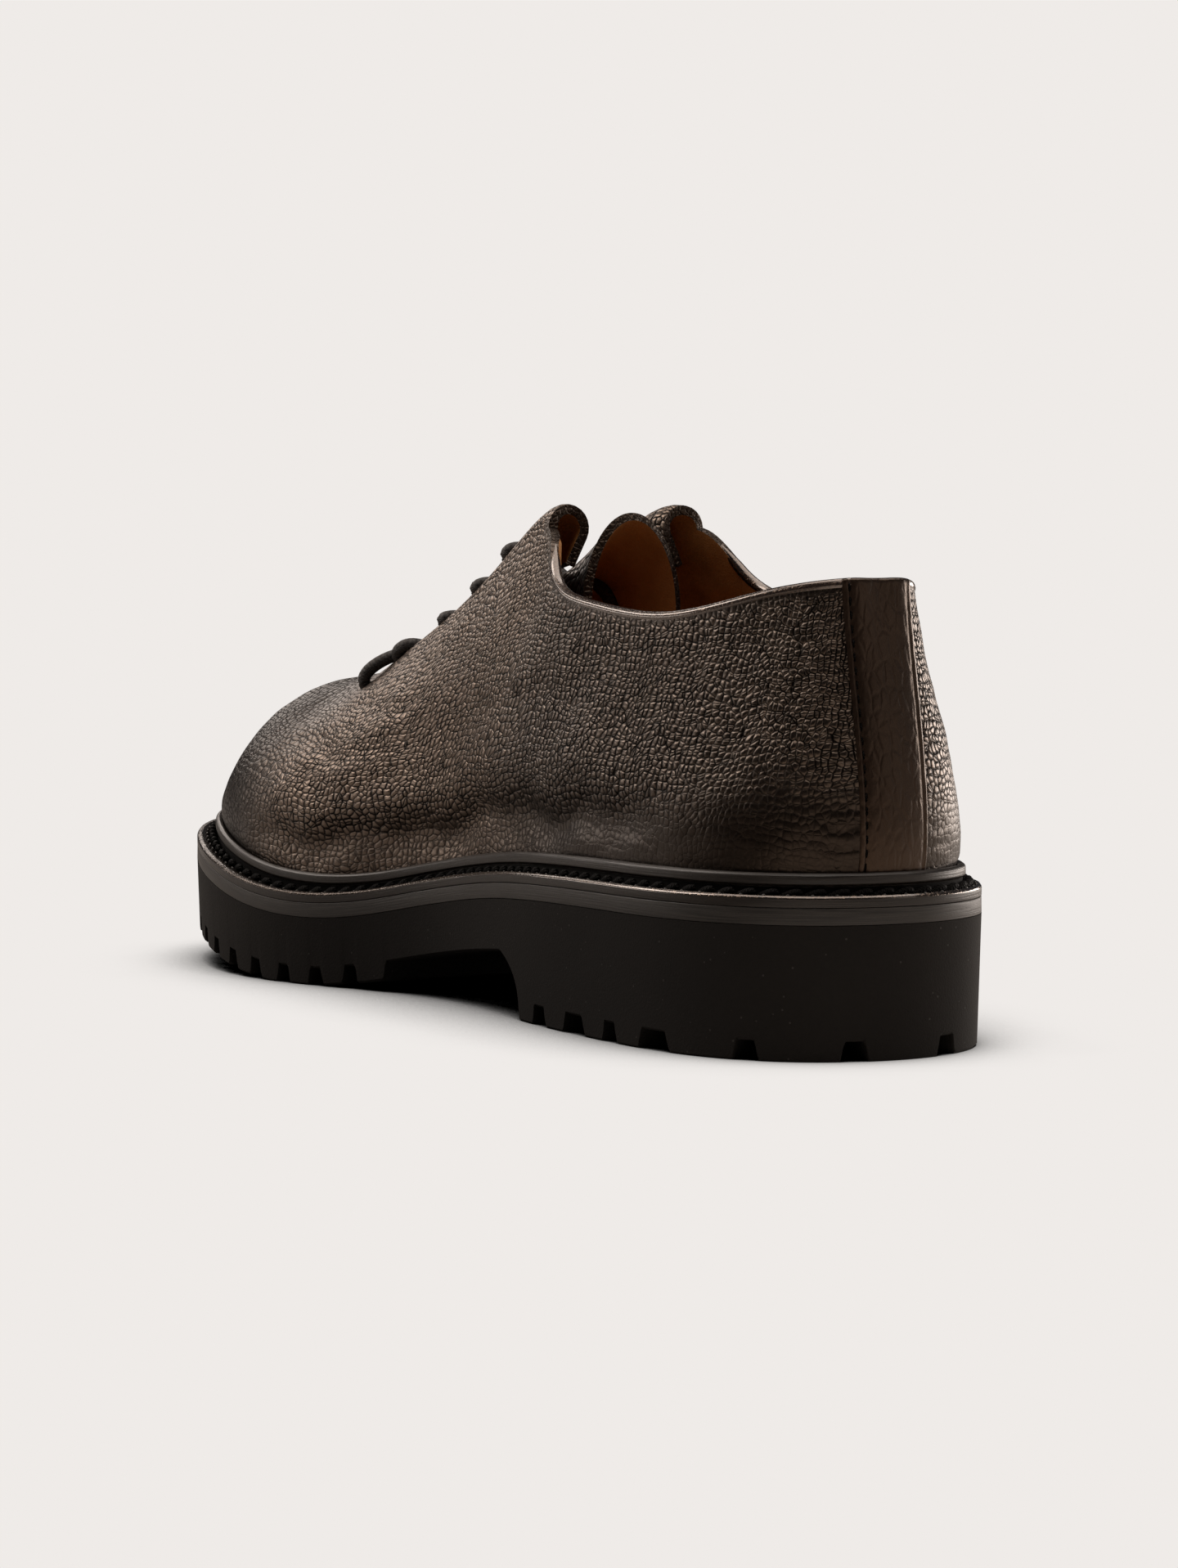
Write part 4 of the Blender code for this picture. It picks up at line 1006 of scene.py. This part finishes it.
# %% Backstay strip
def back_surface(across_places, rows_up):
    """Points of the upper's back at given distances across, from the welt to the collar."""
    places = np.linspace(-0.16, 0.16, 97)
    lines = rulings(places, rows_up, 1)[:, 1:-1]
    grid = np.empty((len(across_places), rows_up, 3))
    for j in range(rows_up):
        line = lines[:, j]
        grid[:, j] = np.column_stack([across_places] + [np.interp(across_places, line[:, 0], line[:, k])
                                                        for k in (1, 2)])
    return grid


def grid_normal(grid):
    """The way out of a grid: the cross product of its two directions."""
    return unit(np.cross(np.gradient(grid, axis=0), np.gradient(grid, axis=1)))


STRIP_COLS, STRIP_ROWS, TOP_ROWS = 49, 72, 8
SEAM_IN = 1.5 * MM
strip_across = np.linspace(-0.5, 0.5, STRIP_COLS) * BACKSTAY_WIDTH
strip = back_surface(strip_across, STRIP_ROWS)
from_edge = BACKSTAY_WIDTH / 2 - np.abs(strip_across)
proud = 0.5 * MM * np.sqrt(np.clip(1 - (1 - np.clip(from_edge / (0.8 * MM), 0, 1))**2, 0, 1))
seam = np.where(strip_across < 0, 0.50, 0.25) * MM
proud = proud - seam * np.exp(-((from_edge - SEAM_IN) / (0.40 * MM))**2)
strip_normal = grid_normal(strip)
strip_out = strip + strip_normal * (proud[:, None, None] + 0.02 * MM)
# the strip goes on over the collar's edge and ends inside the shoe
lift = (LEATHER / 2 + proud[:, None, None]) * np.ones((1, TOP_ROWS, 1))
turn = np.linspace(0, math.pi, TOP_ROWS + 1)[None, 1:, None]
out_flat = unit(strip_normal[:, -1] * np.array([1.0, 1.0, 0.0]))[:, None]
over_top = (strip[:, -1:] + 0.3 * lift * np.sin(turn) * np.array([0, 0, 1.0])
            + (lift * np.cos(turn) - LEATHER / 2) * out_flat)
inside = over_top[:, -1:] - np.array([0, 0, 1.0]) * (np.array([2.0, 5.0]) * MM)[None, :, None]
strip_all = np.concatenate([strip_out, over_top, inside], 1)
backstay = piece("backstay_strip", strip_all.reshape(-1, 3), woven(strip_all.shape[1], STRIP_COLS),
                 [strap_leather], "leather")
thicken(backstay, 0.5 * MM, sharp=50)
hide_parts("backstay")
print("backstay quads:", len(backstay.data.polygons))

# %% Seam stitches
SEAM_PITCH = 2.9 * MM


def seam_stitches(column):
    """Short flat stitches sunk in the groove of one column of the strip."""
    line, normal = strip_out[column], strip_normal[column]
    run = run_along(line)
    count = int(run[-1] / SEAM_PITCH)
    t = np.linspace(-1, 1, 6)
    forms = []
    for k in range(count):
        at = (k + 0.5 + 0.36 * t) * run[-1] / count
        path = np.column_stack([np.interp(at, run, c) for c in line.T])
        rise = np.column_stack([np.interp(at, run, c) for c in normal.T]) * ((0.16 - 0.22 * t**2) * MM)[:, None]
        forms.append(tube(path + rise, 0.27 * MM, 6))
    return forms


seam_column = int(np.argmin(np.abs(strip_across + BACKSTAY_WIDTH / 2 - SEAM_IN)))
seam_forms = seam_stitches(seam_column)
seam_points, seam_quads = gathered(seam_forms)
piece("back_stitches", seam_points, seam_quads, [thread], "lace",
      uv=np.column_stack([seam_points[:, 0], seam_points[:, 2]]))
print("back stitches:", len(seam_forms))

# %% [markdown]
# ## Tongue and insole
# The tongue is an arched sheet under the facings, grain side out and lined below. The insole is the
# floor the foot stands on.

# %% Tongue
# along, crest, half width, drop of its sides
TONGUE = np.array((
    (113.5, 115.0, 13.2, 23.0), (130, 106.2, 8.4, 19.0), (148, 96.8, 14.6, 13.0), (164, 90.1, 16.0, 10.0),
    (182, 83.9, 16.5, 8.7), (200, 77.8, 16.0, 7.4), (216, 73.8, 14.2, 6.0), (229, 71.9, 12.5, 4.4),
    (246, 69.0, 12.5, 3.8))).T * MM
TONGUE_ROWS, TONGUE_COLS = 90, 61
tongue_y = np.linspace(TONGUE[0][0], TONGUE[0][-1], TONGUE_ROWS)
fold = np.linspace(-math.pi / 2, math.pi / 2, TONGUE_COLS)
crest, half, drop = (cubic(TONGUE[0], c, tongue_y)[:, None] for c in TONGUE[1:])
tongue_x = ridge_aside(tongue_y)[:, None] + half * np.sin(fold)
tongue_grid = np.stack([tongue_x, np.broadcast_to(tongue_y[:, None], tongue_x.shape),
                        crest - drop * (1 - np.cos(fold))], -1)
tongue_uv = np.stack([np.broadcast_to(fold * 15 * MM, tongue_x.shape),
                      np.broadcast_to(tongue_y[:, None], tongue_x.shape)], -1)
tongue = piece("tongue_leather", tongue_grid.transpose(1, 0, 2).reshape(-1, 3), woven(TONGUE_ROWS, TONGUE_COLS),
               [tongue_leather, lining, edge_paint], "leather", uv=tongue_uv.transpose(1, 0, 2).reshape(-1, 2))
thicken(tongue, TONGUE_WALL, 0.6 * MM)
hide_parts("tongue")
print("tongue quads:", len(tongue.data.polygons))

# %% Insole
SOCK_COLS = 25
foot_room = ledge(welt_around) + LIP_WIDTH + LEATHER + 2 * FIT_GAP
sock_rows = [(foot_room, MIDSOLE_TOP + 0.3 * MM), (foot_room, MIDSOLE_TOP + 2.6 * MM),
             (foot_room + 0.5 * MM, MIDSOLE_TOP + 3.2 * MM)]
sock_points, sock_quads, _ = carried(sock_rows, closed=False)
inner, outer = (sock_points.reshape(-1, 3, 3)[half] for half in halves(BAND_COUNT))
share = np.linspace(0, 1, SOCK_COLS)[None, :, None]
sock_low, sock_top = (inner[:, k][:, None] * (1 - share) + outer[:, k][:, None] * share for k in (0, 2))
sheet_quads = woven(SOCK_COLS, BAND_COUNT + 1)
sock_points, sock_quads = gathered([(sock_points, sock_quads), (sock_top.reshape(-1, 3), sheet_quads),
                                    (sock_low.reshape(-1, 3), sheet_quads[:, ::-1])])
insole = piece("sock_insole", sock_points, sock_quads, [lining], "lining", sharp=50)
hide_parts("insole")
print("insole quads:", len(insole.data.polygons))

# %% [markdown]
# ## Laces
# One waxed cord comes up through each hole, climbs over the rolled facing, crosses the throat and dips
# under the other facing. The two ends are tucked in beside the tongue.

# %% Holes and routes
# for each hole: its place along and past the top of the ruling, the cord's place at the crest and its lift there
EYELETS = np.array(((145.2, 4.2, 143.9, 4.2, 0.8), (159.6, 3.0, 158.4, 3.2, 0.6), (177.2, 2.4, 176.1, 2.6, 0.5),
                    (200.4, 0.2, 196.2, 1.8, 1.3), (208.3, -8.0, 203.0, -0.5, 1.5))) * MM
LACE_SAG, LACE_SIDES, LACE_STEP = 3.0 * MM, 14, 0.7 * MM
FLAP_END = 30 * MM


def facing_spot(side, along, past):
    """A point of the facing by its ruling and its distance past the top, with the way out of the leather."""
    fine = np.linspace(FACING_PLACE, THROAT_PLACE - 0.002, 120)
    place = np.interp(along, section(TOP_ALONG, fine) * MM, fine)
    lines = rulings(side * (place + np.array([-0.004, 0.0, 0.004])), 60, 40)
    line = lines[1]
    run = run_along(line)
    k = min(int(np.argmin(np.abs(run - run[60] - past))), len(line) - 2)
    return line[k], unit(np.cross(lines[2][k] - lines[0][k], line[k + 1] - line[k - 1])) * side


def route(knots):
    """A smooth path through a few knots, evenly spaced."""
    knots = np.asarray(knots)
    run = run_along(knots)
    fine = np.linspace(0, run[-1], 400)
    line = np.column_stack([cubic(run, k, fine) for k in knots.T])
    run = run_along(line)
    at = np.linspace(0, run[-1], max(12, int(run[-1] / LACE_STEP)))
    return np.column_stack([np.interp(at, run, k) for k in line.T])


def through(side, i):
    """The start every cord shares: up through its hole, over the crest and down the roll's inner side."""
    along, past, crest_along, crest_past, lift = EYELETS[i]
    hole, hole_out = facing_spot(side, along, past)
    crest, crest_out = facing_spot(side, crest_along, crest_past)
    inner, inner_out = facing_spot(side, crest_along - 1.2 * MM, crest_past + 3.6 * MM)
    return [hole - hole_out * 5 * MM, hole - hole_out * 1 * MM, hole + hole_out * 0.3 * MM,
            crest + crest_out * lift, inner + inner_out * 0.2 * MM]


print("holes on each side:", len(EYELETS))

# %% Lace
paths = []
for i in range(1, len(EYELETS)):
    for side in (-1, 1):
        start = through(side, i)
        other, other_out = facing_spot(-side, *EYELETS[i - 1][:2])
        flap, _ = facing_spot(-side, EYELETS[i - 1][0], FLAP_END)
        middle = (start[-1] + flap) / 2
        middle[2] -= LACE_SAG - 1.1 * MM * (side + 1)
        under = flap + np.array([side * 1.5, 0.0, -1.0]) * MM
        paths.append(route(start + [middle, under, other - other_out * 4.5 * MM]))
# the two ends go over the top crests and down between facing and tongue
for side in (-1, 1):
    start = through(side, 0)
    flap, _ = facing_spot(side, EYELETS[0][0], FLAP_END)
    tail = [flap + np.array([-side * x, y, z]) * MM
            for x, y, z in ((2.6, -4.0, 1.0), (2.4, -12.0, -3.5), (1.0, -16.0, -11.0))]
    paths.append(route(start + tail))
lace_points, lace_quads = gathered([tube(path, LACE_RADIUS, LACE_SIDES) for path in paths])
lace = piece("waxed_lace", lace_points, lace_quads, [waxed_lace], "lace",
             uv=cord_map([len(path) for path in paths], LACE_SIDES, LACE_STEP))
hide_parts("lace")
lengths = [run_along(path)[-1] for path in paths]
print("lace runs:", len(paths), "total length", round(sum(lengths), 3), "m")

# %% [markdown]
# ## Studio
# The shoe stands on a pale floor that melts into the background. A lit floor would show every lamp, so
# this one glows evenly for the camera, with a painted contact shadow close under the shoe; what the
# leather mirrors is a dimmer floor. Soft lamps stand high, level and low on the left, behind, in front,
# on the right and overhead, placed by the camera's own directions.

# %% Floor
PALE = (0.863, 0.831, 0.807, 1)
PHI, TILT, FAR, SCALE = math.radians(29.949), math.radians(3.353), 922.34 * MM, 5.14604 / MM
TARGET = np.array([0.098, 133.662, 50.896]) * MM - MIDDLE
UP = np.array([0.0, 0.0, 1.0])
view_way = np.array([math.sin(PHI) * math.cos(TILT), math.cos(PHI) * math.cos(TILT), -math.sin(TILT)])
view_right = np.array([math.cos(PHI), -math.sin(PHI), 0.0])
view_up = np.cross(view_right, view_way)
FLOOR_SIDES, FLOOR_RINGS = 96, (0.001, 0.5, 1.2, 4.0, 14.0)


def pale_floor():
    """Even pale sheet with a painted contact shadow close under the shoe; the shoe itself mirrors a dimmer one."""
    finish, shader, place, _ = new_finish("pale_floor", 0.9, 0.1)
    tree = place.tree
    seen = wire(tree, "ShaderNodeLightPath", {}, out="Is Camera Ray")
    left, right = (wire(tree, "ShaderNodeVectorMath", {0: place, 1: tuple(way)}, out="Value", operation="DOT_PRODUCT")
                   for way in (0.25 * view_way - view_right, 0.87 * view_right - 0.5 * view_way))
    mirrored = blend(ramp(left, 0.03, 0.16), (0.10, 0.096, 0.093), (0.40, 0.38, 0.36))
    blend(ramp(right, 0.03, 0.14), mirrored, (0.80, 0.76, 0.72)).into(shader, "Base Color")
    # painted shadow: ambient occlusion dims the floor's glow close under the shoe
    open_sky = wire(tree, "ShaderNodeAmbientOcclusion", {"Distance": 0.07}, out="AO", samples=16)
    glow = wire(tree, "ShaderNodeEmission", {"Color": PALE, "Strength": ramp(open_sky, 0.30, 0.84)})
    mixed = wire(tree, "ShaderNodeMixShader", {0: seen, 1: Grain(tree, shader.outputs[0]), 2: glow})
    mixed.into(tree.nodes["Material Output"], "Surface")
    return finish


ring = np.arange(FLOOR_SIDES) * 2 * math.pi / FLOOR_SIDES
disc = np.stack([np.column_stack([r * np.cos(ring), r * np.sin(ring), 0 * ring]) for r in FLOOR_RINGS], 1)
mesh = bpy.data.meshes.new("floor")
mesh.from_pydata(disc.reshape(-1, 3).tolist(), [],
                 woven(len(FLOOR_RINGS), FLOOR_SIDES, close_cols=True)[:, ::-1].tolist())
mesh.materials.append(pale_floor())
floor_item = bpy.data.objects.new("floor", mesh)
bpy.context.scene.collection.objects.link(floor_item)
print("floor:", 2 * FLOOR_RINGS[-1], "m across")

# %% Lamps
WARM = (1.0, 0.89, 0.81)
# name, metres to the right, up and away from the camera, width and height, power in watts
LAMPS = (("left_high", -0.92, 0.96, 0.25, (0.5, 0.5), 3.7), ("left_window", -0.92, 0.78, 0.60, (0.45, 0.35), 2.3),
         ("left_low", -1.25, 0.26, 0.48, (1.0, 0.18), 1.4), ("behind", -0.46, 0.56, 1.14, (0.5, 0.4), 1.6),
         ("front_right", 1.12, 0.24, -0.68, (0.4, 0.4), 0.35), ("right_window", 1.10, 0.14, 0.75, (1.1, 0.4), 8.4),
         ("overhead", 0.15, 1.7, 0.1, (2.2, 2.2), 28))


def matrix_of(x, y, z, place):
    """A matrix with three directions and a place as its columns."""
    return Matrix([[x[k], y[k], z[k], place[k]] for k in range(3)] + [[0, 0, 0, 1]])


def softbox(name, right, up, away, size, power):
    """An area light placed by the camera's own directions from the shoe, facing the shoe."""
    light = bpy.data.lights.new(name, "AREA")
    light.shape, light.size, light.size_y, light.energy, light.color = "RECTANGLE", *size, power, WARM
    item = bpy.data.objects.new(name, light)
    spot = TARGET + view_right * right + UP * up + view_way * away
    facing = unit(TARGET - spot)
    side = unit(np.cross(facing, UP))
    item.matrix_world = matrix_of(side, np.cross(side, facing), -facing, spot)
    item.visible_camera = False
    bpy.context.scene.collection.objects.link(item)


for lamp in LAMPS:
    softbox(*lamp)
world = bpy.data.worlds.new("studio")
world.use_nodes = True
bpy.context.scene.world = world
tree = world.node_tree
backdrop = tree.nodes["Background"]
backdrop.inputs["Color"].default_value = PALE
dim = wire(tree, "ShaderNodeBackground", {"Color": (0.9, 0.92, 1.0, 1), "Strength": 0.03})
seen = wire(tree, "ShaderNodeLightPath", {}, out="Is Camera Ray")
both = wire(tree, "ShaderNodeMixShader", {0: seen, 1: dim, 2: Grain(tree, backdrop.outputs[0])})
both.into(tree.nodes["World Output"], "Surface")
print("lamps:", len(LAMPS))

# %% [markdown]
# ## Camera
# The camera stands low behind the shoe's inner side. Its turn, tilt, distance and scale were measured
# from the photograph, and the lens follows from the scale: pixels to a metre times the distance.

# %% Camera
PHOTO_HEIGHT, SENSOR = 1917, 36.0
lens = bpy.data.cameras.new("photo_camera")
lens.sensor_fit, lens.sensor_height, lens.lens = "VERTICAL", SENSOR, SCALE * FAR / PHOTO_HEIGHT * SENSOR
lens.clip_start, lens.clip_end = 0.01, 50
camera = bpy.data.objects.new("photo_camera", lens)
camera.matrix_world = matrix_of(view_right, view_up, -view_way, TARGET - view_way * FAR)
bpy.context.scene.collection.objects.link(camera)
bpy.context.scene.camera = camera
bpy.context.scene.view_settings.view_transform = "Standard"
print("lens:", round(lens.lens, 1), "mm")

# %% [markdown]
# ## Sizes
# The dressed shoe must not outgrow the solids.
